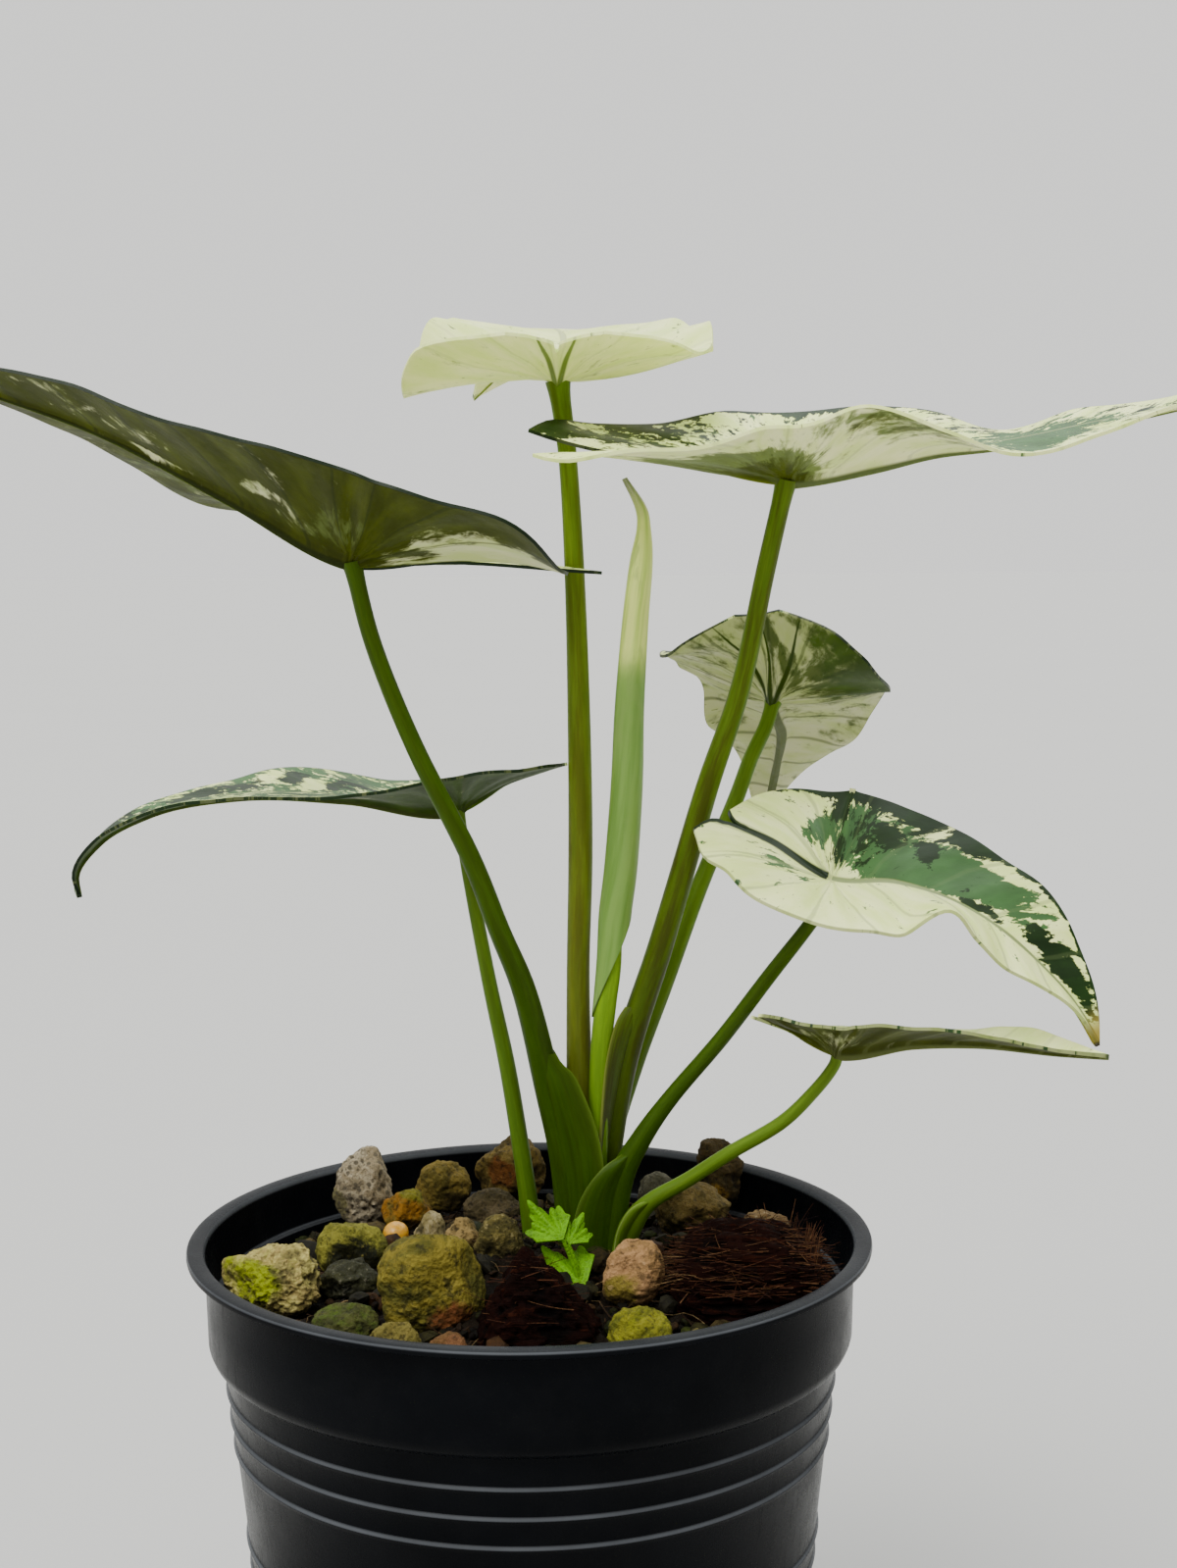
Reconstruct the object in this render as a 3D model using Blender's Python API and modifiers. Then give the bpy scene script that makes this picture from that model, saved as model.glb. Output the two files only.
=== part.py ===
"""Potted alocasia: a black nursery pot of growing mix, stones and husk, with one plant.

The plant has seven opened leaves and one furled leaf. Each is a blade on its own petiole, and
the petioles rise from a crown of overlapping sheath bases. The origin is the centre of the
pot's flat underside, +Z is up and -Y is the side that the plant is seen from.
"""

import math
import random
from dataclasses import dataclass

import bmesh
import bpy
import numpy as np
from mathutils import Euler, Vector

MM = 0.001

# Driving dimensions. Lengths are in millimetres and are scaled by MM where they are used.
POT_HEIGHT = 95.0
RIM_RADIUS = 55.0
RIM_WIDTH = 3.0
RIM_THICKNESS = 1.3
SKIRT_RADIUS = 52.1
SKIRT_DEPTH = 15.5
BASE_RADIUS = 41.0
POT_WALL = 1.0
POT_FLOOR = 1.5
BODY_TOP_RADIUS = 49.6
RIB_DEPTHS = (22.4, 27.0, 31.5, 47.0, 51.5, 56.0, 60.5)
RIB_HEIGHT = 0.9
RIB_STEP = 0.4
POT_STEPS = 32
DRAIN_HOLES = 6
DRAIN_RADIUS = 3.5
DRAIN_CIRCLE = 29.0

CLEARANCE = 0.3
LEAF_THICKNESS = 0.7
LEAF_STATIONS = 24
LEAF_COLUMNS = 3
SLIT_HALF_WIDTH = 0.35

MIX_EDGE_HEIGHT = 86.5
MIX_CROWN_RISE = 4.5
MIX_RISE_RADIUS = 28.0
MIX_STEPS = 20
MIX_GAP = 0.6

CROWN_CENTRE = (10.3, 7.0)
CORM_TOP, CORM_BOTTOM = 89.0, 74.0
CORM_TOP_RADIUS, CORM_BOTTOM_RADIUS = 6.5, 4.5
SHEATH_FOOT = 88.0
STEM_POINTS = 11
END_STEP = 0.6

# How wide one half of a leaf is, from the ends of its two rear lobes to its tip
OUTLINE_PLACES = (0, 0.03, 0.10, 0.20, 0.31, 0.45, 0.60, 0.74, 0.86, 0.94, 1.0)
OUTLINE_WIDTHS = (0.30, 0.62, 0.89, 0.985, 1.0, 0.93, 0.76, 0.53, 0.29, 0.13, 0.0)


@dataclass
class Leaf:
    """One leaf blade, in millimetres and degrees.

    The path runs along the middle of the blade: from between the ends of its rear lobes,
    through the junction with the petiole, to the tip. The rises are how steeply each half
    stands above level, at equal steps along the path, and the bows are how much more it turns
    up by its edge.
    """

    path: tuple
    half_width: float
    rise_left: tuple
    rise_right: tuple
    bow_left: tuple = (0, 0)
    bow_right: tuple = (0, 0)
    lobe_spread: float = 0.30
    slit_power: float = 2.4
    junction: int = 2


@dataclass
class Stem:
    """One petiole: points up its middle, its radius at each, and where it leaves the crown."""

    path: tuple
    radii: tuple
    sheath_top: float


LEAVES = {
    "upper_left": Leaf(
        path=((9, -7, 201.5), (-8.5, -9, 203), (-26, -10, 203.5), (-43.5, -12, 213),
              (-63.5, -14, 223.5), (-80, -16, 229.5), (-96.5, -16, 235.5)),
        half_width=25,
        rise_left=(-12, 10, 20, 27, 28, 23, 18, 14, 17, 19, 21, 22),
        rise_right=(1, 2, 1, 1, 0, 0, -9, -9, -7, -7, -8, -9)),
    "top": Leaf(
        path=((5.5, -9, 237.5), (5.5, 0, 235), (5.5, 8, 232), (6, 19, 237),
              (6, 31, 241.5), (3.5, 42, 243.5), (-2.5, 54, 240.5), (-11, 62, 233.5)),
        half_width=25.3,
        rise_left=(0, -3, 2, 12, 12, 4, 2, 0, 0, 0, 0, 0),
        rise_right=(0, 0, 4, 6, 6, 2, 3, 0, 0, 0, 0, 0),
        bow_left=(0, -5, -15, -42, -42, -5, 15, 10, 0, 0, 0, 0),
        bow_right=(0, 0, -8, -12, -10, 5, 8, 5, 0, 0, 0, 0)),
    "upper_right": Leaf(
        path=((1.5, -13, 220.5), (19.5, -11, 218), (40.5, -9, 215.5), (53.5, -10, 217.5),
              (62.5, -11, 219.5), (72.5, -12, 220.5), (85.5, -14, 223), (98, -16, 225.5),
              (116, -19, 229.5)),
        half_width=23.7,
        rise_left=(22, 17, 19, 28, 28, 27, 20, 8, 14, 12, 18, 20),
        rise_right=(-15, -2, 3, 14, 16, 19, 3, -11, -11, -4, 6, 8)),
    "back": Leaf(
        path=((39, 28, 195), (41.5, 33, 187), (42.5, 38, 178.5), (45, 48, 172.5),
              (45, 57, 166.5), (44.5, 65, 160), (43, 70, 152)),
        half_width=20.5,
        rise_left=(-30, -20, 9, 26, 27, 32, 35, 27, 39, 51, 58, 65),
        rise_right=(-7, -12, -13, 1, 16, 19, 18, 12, 19, 30, 41, 48),
        lobe_spread=0.20,
        slit_power=5),
    "lower_right": Leaf(
        path=((28.5, -4, 163.5), (38.5, -5, 159), (48, -6, 153), (58, -6.5, 152.5),
              (70, -8, 148), (80.5, -10, 139.5), (86, -11, 133), (89, -12, 127.5)),
        half_width=18.5,
        rise_left=(9, 17, 30, 43, 43, 37, 37, 40, 56, 61, 65, 72),
        rise_right=(-26, -20, -21, -15, -15, -18, 2, -7, -15, -10, 1, 16),
        lobe_spread=0.26,
        slit_power=5),
    "small": Leaf(
        path=((35.5, -10, 132), (41, -10, 130), (48.5, -10, 127), (60, -11, 128.5),
              (70.5, -12, 128.5), (82.5, -13, 127), (90, -14, 126.5)),
        half_width=12,
        rise_left=(-9, -6, 1, 5, 1, -4, -3, -1, 11, 27, 26, 19),
        rise_right=(20, 18, 24, 29, 28, 22, 21, 18, 16, 15, 14, 13)),
    "left": Leaf(
        path=((6, 20, 169), (-3, 19, 166.5), (-12, 18, 162.5), (-30.5, 17, 164.5),
              (-48.5, 16, 165), (-63.5, 15, 162), (-71.5, 14, 157.5), (-75.5, 13, 151.5),
              (-75, 13, 148)),
        half_width=20,
        rise_left=(9, 11, 19, 19, 13, 10, 9, 10, 6, 6, 12, 20),
        rise_right=(-3, -1, 7, 9, 5, 9, 11, 6, 4, 6, 0, -10)),
}

STEMS = {
    "upper_left": Stem(
        path=((7, 7, 87), (6.8, 6.8, 92), (5.5, 6, 105.5), (3, 4.5, 117.5), (-0.5, 1.5, 133.5),
              (-4.5, -1, 144.5), (-9, -3.5, 157), (-17, -6, 174), (-23, -8, 190),
              (-26, -10, 203.2)),
        radii=(2.6, 2.6, 2.5, 2.3, 2.0, 1.75, 1.6, 1.45, 1.35, 1.35),
        sheath_top=110),
    "top": Stem(
        path=((9, 9, 87), (8.8, 9, 92), (8, 9.5, 104.5), (8, 9.5, 119.5), (8, 9.5, 136),
              (8.5, 9.5, 154), (8.5, 9.5, 173), (8, 9.5, 198.5), (7, 9, 219), (5.5, 8, 231.7)),
        radii=(2.3, 2.3, 2.3, 2.1, 1.9, 2.0, 1.9, 1.65, 1.5, 1.4),
        sheath_top=110),
    "upper_right": Stem(
        path=((11, 9, 87), (11.1, 9, 92), (12.5, 8.5, 104.5), (15.5, 7.5, 121.5), (21, 6, 139),
              (24.5, 5, 151), (29, 2.5, 167), (34, -1.5, 183), (37.5, -6, 201),
              (40.5, -9, 215.2)),
        radii=(2.4, 2.4, 2.3, 2.3, 2.1, 2.0, 1.85, 1.6, 1.5, 1.45),
        sheath_top=110),
    "back": Stem(
        path=((10, 12, 87), (10.3, 12, 92), (12.5, 13, 105), (17, 15, 119), (22.5, 18, 132.5),
              (28.5, 22, 147.5), (35, 28, 161.5), (38, 32, 168.5), (41, 36, 174),
              (42.5, 38, 178.2)),
        radii=(2.0, 2.0, 2.0, 1.9, 1.7, 1.5, 1.4, 1.35, 1.3, 1.3),
        sheath_top=108),
    "lower_right": Stem(
        path=((13, 4, 87), (13, 4, 91.5), (14.5, 3, 102), (18, 1.5, 109.5), (23, 0, 117),
              (31, -2, 127), (38.5, -4, 137.5), (44, -5.5, 145), (47, -6, 149.5),
              (48, -6, 152.7)),
        radii=(2.4, 2.4, 2.2, 1.7, 1.35, 1.25, 1.2, 1.1, 1.05, 1.0),
        sheath_top=104),
    "small": Stem(
        path=((14.5, 3, 87), (15, 2.5, 91), (16.5, 1.5, 95.5), (19.5, 0.5, 99.5),
              (25.5, -1, 103.5), (32, -3.5, 108.5), (40, -6, 114), (45, -8, 119.5),
              (48, -9.5, 124), (48.5, -10, 126.7)),
        radii=(2.0, 2.0, 1.9, 1.4, 1.2, 1.15, 1.1, 1.0, 0.95, 0.9),
        sheath_top=99),
    "furled": Stem(
        path=((10.5, 5.2, 87), (10.5, 5, 92), (11, 4.6, 107), (11.5, 4.5, 122),
              (12.5, 4.8, 131.5), (13.4, 5.2, 138.5)),
        radii=(1.6, 1.6, 1.6, 1.5, 1.45, 1.4),
        sheath_top=108),
    "left": Stem(
        path=((0, 12.5, 76), (0, 12.5, 88), (-0.5, 12.5, 94.5), (-1.5, 13, 102.5),
              (-4, 14.5, 118.5), (-7, 16, 133), (-10.5, 17.5, 152), (-12, 18, 162.2)),
        radii=(1.6, 1.6, 1.6, 1.5, 1.4, 1.25, 1.1, 1.0),
        sheath_top=78),
}

FURLED_PATH = ((13.5, 5.3, 139), (14, 5.5, 146), (15, 5.5, 154), (16, 5.5, 167),
               (16.5, 5.5, 179.5), (17.5, 5.5, 193), (18.5, 5.5, 202.5), (19, 5.5, 208),
               (18.5, 5.5, 211.5), (16, 5.5, 216))
FURLED_RADII = (1.9, 2.3, 2.45, 2.3, 2.15, 1.9, 1.75, 1.1, 0.9, 0.25)

# Stones: centre, half sizes, turn about Z in degrees, colour
STONES = {
    "stone_mossy_coral": ((-39.0, -14, 91.5), (8.0, 6.5, 5.7), 10, (0.42, 0.38, 0.14)),
    "stone_speckled_pumice": ((-30.3, 31.5, 93), (5.6, 4.8, 7.6), 0, (0.36, 0.31, 0.26)),
    "stone_olive": ((-29, 0.5, 91.5), (6.3, 4.2, 5.4), -15, (0.20, 0.19, 0.05)),
    "stone_dark_grit": ((-28, -9.5, 90), (5.3, 4.0, 3.6), 0, (0.05, 0.06, 0.03)),
    "stone_boulder": ((-14.8, -21.7, 93), (8.0, 7.0, 8.5), 0, (0.17, 0.14, 0.04)),
    "stone_amber": ((-22, 24, 91), (4.8, 4.2, 4.2), 20, (0.30, 0.16, 0.02)),
    "stone_olive_brown": ((-16.6, 34.5, 92), (5.3, 4.5, 5.4), 25, (0.17, 0.13, 0.04)),
    "stone_red_porous": ((-4.7, 43, 93), (6.8, 5.6, 6.9), 0, (0.19, 0.10, 0.04)),
    "stone_grey_brown": ((-7.4, 26.8, 90.5), (5.4, 4.3, 3.7), 0, (0.12, 0.09, 0.05)),
    "stone_pale_tan": ((-17, 10.8, 91.5), (3.0, 2.7, 3.3), 0, (0.38, 0.33, 0.22)),
    "stone_tan": ((-11.5, 6.0, 92), (3.3, 2.8, 3.6), 0, (0.32, 0.26, 0.15)),
    "stone_mottled": ((-4.9, -1, 93), (4.3, 3.7, 5.0), 0, (0.22, 0.19, 0.09)),
    "stone_green_moss": ((-27, -30, 90), (5.4, 4.0, 3.4), 0, (0.07, 0.10, 0.02)),
    "stone_yellow_olive": ((-19, -37.5, 90), (4.2, 3.4, 3.6), 0, (0.26, 0.23, 0.07)),
    "stone_red_chip": ((-11, -40.5, 89.8), (3.2, 2.6, 3.2), 0, (0.22, 0.10, 0.05)),
    "stone_pink": ((16.3, -16.7, 93), (5.0, 4.3, 5.7), 20, (0.36, 0.26, 0.17)),
    "stone_yellow_moss": ((16.8, -36.5, 91), (5.0, 4.0, 4.2), 0, (0.26, 0.24, 0.06)),
    "stone_front_chip": ((25, -38, 89.4), (2.8, 2.4, 3.0), 0, (0.34, 0.30, 0.12)),
    "stone_brown_slab": ((26.9, 19.4, 92.3), (7.0, 6.0, 5.3), 0, (0.16, 0.12, 0.05)),
    "stone_bark_chip": ((38.9, 11, 90.8), (4.7, 4.0, 4.0), -10, (0.24, 0.17, 0.09)),
    "stone_dark_cluster": ((32.4, 33.8, 94.3), (4.2, 3.4, 8.0), 0, (0.11, 0.08, 0.03)),
    "stone_grey": ((21.5, 35, 90.5), (3.8, 3.2, 4.2), 0, (0.15, 0.15, 0.13)),
}
STONE_SUBDIVISIONS = 2
STONE_FLATS = 7
STONE_FLAT_DEPTH = 0.84

# Coconut husk: centre, half sizes, turn about Z in degrees
HUSKS = {
    "husk_front": ((1.8, -28, 91), (9.0, 7.6, 7.2), 0),
    "husk_right": ((34.2, -14, 91.6), (12.2, 10.4, 7.6), -4),
}
HUSK_CUTS = 4
HUSK_SQUARENESS = 3.2
HUSK_RIDGE = 0.55

BEAD_CENTRE, BEAD_RADIUS = (-23, 12.6, 90.7), 2.2

SEEDLING_FOOT = (5.5, -12.5, 86)
SEEDLING_STEM_RADIUS = 0.5
SEEDLING_LEAF_THICKNESS = 0.7
# Seedling leaves: junction, heading and tilt in degrees, length
SEEDLING_LEAVES = (
    ((4.0, -13.2, 98.5), 150, 38, 8.0),
    ((7.2, -13.0, 97.0), 25, 30, 6.5),
    ((6.6, -14.4, 94.4), -35, 8, 7.0),
)

PLASTIC_BLACK = (0.010, 0.013, 0.018)
MIX_BROWN = (0.035, 0.024, 0.014)
STEM_GREEN = (0.085, 0.135, 0.012)
CROWN_GREEN = (0.055, 0.110, 0.020)
FURLED_CREAM = (0.52, 0.58, 0.26)
HUSK_MAROON = (0.070, 0.030, 0.018)
BEAD_YELLOW = (0.72, 0.42, 0.06)
SEEDLING_GREEN = (0.16, 0.50, 0.03)
BLADE_COLOURS = {
    "upper_left": (0.10, 0.13, 0.04),
    "top": (0.66, 0.68, 0.42),
    "upper_right": (0.52, 0.55, 0.38),
    "back": (0.26, 0.32, 0.13),
    "lower_right": (0.45, 0.52, 0.34),
    "small": (0.30, 0.34, 0.20),
    "left": (0.16, 0.22, 0.12),
}


def clear_scene():
    for old in list(bpy.data.objects):
        bpy.data.objects.remove(old, do_unlink=True)


def new_collection(name, hidden=False):
    collection = bpy.data.collections.new(name)
    collection.hide_render = hidden
    bpy.context.scene.collection.children.link(collection)
    return collection


def material(name, colour, roughness, metallic=0.0):
    made = bpy.data.materials.new(name)
    made.use_nodes = True
    shader = made.node_tree.nodes["Principled BSDF"]
    shader.inputs["Base Color"].default_value = (*colour, 1.0)
    shader.inputs["Roughness"].default_value = roughness
    shader.inputs["Metallic"].default_value = metallic
    made.diffuse_color = (*colour, 1.0)
    return made


def add_object(name, data, collection, surface=None):
    made = bpy.data.objects.new(name, data)
    collection.objects.link(made)
    if surface is not None:
        made.data.materials.clear()
        made.data.materials.append(surface)
    return made


def mesh_from(bm, name):
    mesh = bpy.data.meshes.new(name)
    bm.to_mesh(mesh)
    bm.free()
    return mesh


def hide_cutter(cutter):
    cutter.hide_render = True
    cutter.display_type = "WIRE"


def as_mesh_object(source, name, collection, surface=None):
    """Swaps an object for one whose mesh is its evaluated shape in world space, welded."""
    bpy.context.view_layer.update()
    graph = bpy.context.evaluated_depsgraph_get()
    mesh = bpy.data.meshes.new_from_object(source.evaluated_get(graph))
    mesh.transform(source.matrix_world)
    bm = bmesh.new()
    bm.from_mesh(mesh)
    bmesh.ops.remove_doubles(bm, verts=bm.verts, dist=0.001 * MM)
    bm.to_mesh(mesh)
    bm.free()
    bpy.data.objects.remove(source, do_unlink=True)
    return add_object(name, mesh, collection, surface)


def smooth_curve(knots, values, places):
    """A smooth curve through values at knots, read at places."""
    knots = np.asarray(knots, float)
    values = np.asarray(values, float)
    if values.ndim == 1:
        return smooth_curve(knots, values[:, None], places)[:, 0]
    slopes = np.gradient(values, knots, axis=0)
    low = np.clip(np.searchsorted(knots, places, side="right") - 1, 0, len(knots) - 2)
    span = (knots[low + 1] - knots[low])[:, None]
    s = (np.asarray(places) - knots[low])[:, None] / span
    return (
        (2 * s**3 - 3 * s**2 + 1) * values[low]
        + (s**3 - 2 * s**2 + s) * span * slopes[low]
        + (3 * s**2 - 2 * s**3) * values[low + 1]
        + (s**3 - s**2) * span * slopes[low + 1]
    )


def pot_outline():
    """The pot's section, from the middle of its floor up the inside and down the outside."""
    height, radius = POT_HEIGHT, RIM_RADIUS

    def body_radius(depth):
        share = (depth - SKIRT_DEPTH) / (height - SKIRT_DEPTH)
        return BODY_TOP_RADIUS + (BASE_RADIUS - BODY_TOP_RADIUS) * share

    inside = [
        (0.0, POT_FLOOR),
        (BASE_RADIUS - POT_WALL - 1.0, POT_FLOOR),
        (BASE_RADIUS - POT_WALL, POT_FLOOR + 1.0),
        (BODY_TOP_RADIUS - POT_WALL, height - SKIRT_DEPTH - 2.5),
        (SKIRT_RADIUS - 2.4, height - 8.6),
        (SKIRT_RADIUS - 1.4, height - 8.0),
        (radius - RIM_WIDTH, height - 1.0),
        (radius - RIM_WIDTH + 0.3, height - 0.2),
    ]
    rim = [
        (radius - RIM_WIDTH + 0.9, height),
        (radius - 0.5, height),
        (radius, height - 0.4),
        (radius, height - RIM_THICKNESS),
        (SKIRT_RADIUS, height - RIM_THICKNESS - 0.3),
        (SKIRT_RADIUS - 0.3, height - SKIRT_DEPTH + 0.5),
        (SKIRT_RADIUS - 1.2, height - SKIRT_DEPTH - 1.6),
        (BODY_TOP_RADIUS, height - SKIRT_DEPTH - 2.2),
    ]
    ribs = []
    for depth in RIB_DEPTHS:
        ribs.append((body_radius(depth) + RIB_STEP, height - depth))
        ribs.append((body_radius(depth + RIB_HEIGHT), height - depth - RIB_HEIGHT))
    foot = [(BASE_RADIUS, 0.8), (BASE_RADIUS - 0.8, 0.0), (0.0, 0.0)]
    return inside + rim + ribs + foot


def turned(name, outline, steps, collection):
    """A solid turned about Z from (radius, height) points in millimetres."""
    mesh = bpy.data.meshes.new(name)
    points = [(r * MM, 0.0, z * MM) for r, z in outline]
    mesh.from_pydata(points, [(i, i + 1) for i in range(len(points) - 1)], [])
    made = add_object(name, mesh, collection)
    screw = made.modifiers.new("turn", "SCREW")
    screw.angle = math.tau
    screw.steps = steps
    screw.render_steps = steps
    screw.use_merge_vertices = True
    screw.merge_threshold = 0.00001
    return made


def drop_scraps(target):
    """Keeps only the largest connected body of a mesh."""
    bm = bmesh.new()
    bm.from_mesh(target.data)
    unseen = set(bm.verts)
    bodies = []
    while unseen:
        body = {unseen.pop()}
        edge_of_body = list(body)
        while edge_of_body:
            vertex = edge_of_body.pop()
            for edge in vertex.link_edges:
                other = edge.other_vert(vertex)
                if other in unseen:
                    unseen.remove(other)
                    body.add(other)
                    edge_of_body.append(other)
        bodies.append(body)
    largest = max(bodies, key=len)
    scraps = [vertex for vertex in bm.verts if vertex not in largest]
    bmesh.ops.delete(bm, geom=scraps, context="VERTS")
    bm.to_mesh(target.data)
    bm.free()


def cut_from(target, cutters, solver="EXACT"):
    """Takes every object of the collection from the target, and applies it."""
    boolean = target.modifiers.new("cut", "BOOLEAN")
    boolean.operation = "DIFFERENCE"
    boolean.operand_type = "COLLECTION"
    boolean.collection = cutters
    boolean.solver = solver
    return as_mesh_object(target, target.name, target.users_collection[0], None)


def make_pot(part, cutters):
    solid = turned("pot_blank", pot_outline(), POT_STEPS, part)
    holes = new_collection("Drain holes", hidden=True)
    for step in range(DRAIN_HOLES):
        angle = math.tau * step / DRAIN_HOLES
        bm = bmesh.new()
        bmesh.ops.create_cone(bm, cap_ends=True, segments=12, radius1=DRAIN_RADIUS * MM,
                              radius2=DRAIN_RADIUS * MM, depth=4 * POT_FLOOR * MM)
        place = Vector((math.cos(angle), math.sin(angle), 0.0)) * DRAIN_CIRCLE * MM
        bmesh.ops.translate(bm, verts=bm.verts, vec=place)
        hole = add_object(f"drain_hole_{step + 1}", mesh_from(bm, "drain_hole"), holes)
        hide_cutter(hole)
    boolean = solid.modifiers.new("drain", "BOOLEAN")
    boolean.operation = "DIFFERENCE"
    boolean.operand_type = "COLLECTION"
    boolean.collection = holes
    pot = as_mesh_object(solid, "pot", part, material("pot_plastic", PLASTIC_BLACK, 0.38))
    pot.data.shade_smooth()
    pot.data.set_sharp_from_angle(angle=math.radians(30))
    return pot


def pot_inner_radius(height):
    """The inner wall's radius at a height in millimetres, below the ledge."""
    low, high = POT_FLOOR + 1.0, POT_HEIGHT - SKIRT_DEPTH - 2.5
    share = (height - low) / (high - low)
    return BASE_RADIUS - POT_WALL + (BODY_TOP_RADIUS - BASE_RADIUS) * min(share, 1.0)


def mix_height(x, y):
    """The height of the growing mix at a place, in millimetres: a low heap with lumps."""
    heap = MIX_EDGE_HEIGHT + MIX_CROWN_RISE * math.exp(-(x * x + y * y) / MIX_RISE_RADIUS**2)
    lumps = 0.5 * math.sin(0.45 * x + 1.0) * math.cos(0.38 * y) + 0.3 * math.sin(0.9 * y + 0.3 * x)
    return heap + lumps


def make_growing_mix(part, cutters):
    floor = POT_FLOOR + CLEARANCE
    shoulder = POT_HEIGHT - SKIRT_DEPTH - 2.5
    side = [
        (BASE_RADIUS - POT_WALL - 1.0 - MIX_GAP, floor),
        (BASE_RADIUS - POT_WALL - MIX_GAP, floor + 1.0),
        (pot_inner_radius(shoulder) - MIX_GAP, shoulder),
        (pot_inner_radius(shoulder) - MIX_GAP, MIX_EDGE_HEIGHT - 1.0),
    ]
    rings = [(r, MIX_EDGE_HEIGHT) for r in (45, 36, 27, 18, 9, 0)]
    outline = rings[::-1] + side[::-1] + [(0.0, floor)]
    solid = turned("growing_mix_blank", outline, MIX_STEPS, part)
    mix = as_mesh_object(solid, "growing_mix", part, material("mix", MIX_BROWN, 0.95))
    for vertex in mix.data.vertices:
        if vertex.co.z > (MIX_EDGE_HEIGHT - 0.5) * MM:
            vertex.co.z = mix_height(vertex.co.x / MM, vertex.co.y / MM) * MM
    mix = cut_from(mix, cutters)
    drop_scraps(mix)
    return mix


def leaf_surface(leaf, columns, narrower=0.0):
    """Points of a blade's two halves: arrays of stations by columns, in millimetres."""
    path = np.array(leaf.path, float)
    steps = np.linalg.norm(np.diff(path, axis=0), axis=1)
    along = np.concatenate([[0], np.cumsum(steps)])
    along -= along[leaf.junction]
    back, tip = along[0], along[-1]
    rear = max(3, round(LEAF_STATIONS * -back / (tip - back)))
    stations = np.concatenate([
        np.linspace(back, 0, rear + 1),
        np.linspace(0, tip, LEAF_STATIONS - rear + 1)[1:],
    ])
    share = (stations - back) / (tip - back)
    middle = smooth_curve(along, path, stations)
    forward = np.gradient(middle, stations, axis=0)
    forward /= np.linalg.norm(forward, axis=1)[:, None]
    across = np.cross(forward, (0, 0, 1))
    across /= np.linalg.norm(across, axis=1)[:, None]
    upward = np.cross(across, forward)

    rearward = np.clip(stations / back, 0, 1)
    lobe_inner = np.maximum(rearward**leaf.slit_power * leaf.lobe_spread * leaf.half_width,
                            SLIT_HALF_WIDTH)
    lobe_inner = np.maximum(lobe_inner - narrower, 0)
    inner = np.where(stations < -0.001, lobe_inner, 0.0)
    outer = smooth_curve(OUTLINE_PLACES, OUTLINE_WIDTHS, share) * leaf.half_width
    outer += ((leaf.lobe_spread - OUTLINE_WIDTHS[0]) * leaf.half_width
              * np.clip(rearward - 0.6, 0, 1) / 0.4)
    outer = np.maximum(outer, inner)
    distance = inner[:, None] + (outer - inner)[:, None] * np.linspace(0, 1, columns + 1)

    halves = []
    for side, rises, bows in ((-1, leaf.rise_left, leaf.bow_left),
                              (1, leaf.rise_right, leaf.bow_right)):
        rise = np.radians(smooth_curve(np.linspace(0, 1, len(rises)), rises, share))[:, None]
        bow = np.radians(smooth_curve(np.linspace(0, 1, len(bows)), bows, share))[:, None]
        bend = bow * distance / leaf.half_width
        mean_angle = rise + bend / 2
        out = distance * np.cos(mean_angle) * np.sinc(bend / 2 / np.pi)
        up = distance * np.sin(mean_angle) * np.sinc(bend / 2 / np.pi)
        halves.append(middle[:, None] + side * across[:, None] * out[:, :, None]
                      + upward[:, None] * up[:, :, None])
    return halves


def blade_object(name, leaf, collection, surface, thickness, above):
    """A blade: two grids shaped by the leaf's surface, welded along the middle, with a wall."""
    bm = bmesh.new()
    for half, points in enumerate(leaf_surface(leaf, LEAF_COLUMNS, 2 * above)):
        grid = bmesh.ops.create_grid(bm, x_segments=LEAF_STATIONS, y_segments=LEAF_COLUMNS,
                                     size=1.0)
        faces = {face for vertex in grid["verts"] for face in vertex.link_faces}
        for vertex in grid["verts"]:
            station = round((vertex.co.x + 1) / 2 * LEAF_STATIONS)
            column = round((vertex.co.y + 1) / 2 * LEAF_COLUMNS)
            vertex.co = Vector(points[station, column]) * MM
        if half == 1:
            bmesh.ops.reverse_faces(bm, faces=list(faces))
    bmesh.ops.remove_doubles(bm, verts=bm.verts, dist=0.001 * MM)
    bmesh.ops.triangulate(bm, faces=bm.faces)
    blade = add_object(name, mesh_from(bm, name), collection, surface)
    wall = blade.modifiers.new("wall", "SOLIDIFY")
    wall.thickness = thickness * MM
    wall.offset = 2 * above / thickness - 1
    return blade


def stem_points(stem, low, high, count):
    """Points and radii along a stem between two heights in millimetres."""
    places = np.arange(len(stem.path), dtype=float)
    fine = np.linspace(0, places[-1], 400)
    path = smooth_curve(places, np.array(stem.path, float), fine)
    start = np.interp(low, path[:, 2], fine)
    end = np.interp(high, path[:, 2], fine)
    nudge = END_STEP * (end - start) / (high - low)
    chosen = np.linspace(start, end, count - 2)
    chosen = np.sort(np.append(chosen, (start + nudge, end - nudge)))
    points = smooth_curve(places, np.array(stem.path, float), chosen)
    return points, np.interp(chosen, places, stem.radii)


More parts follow.
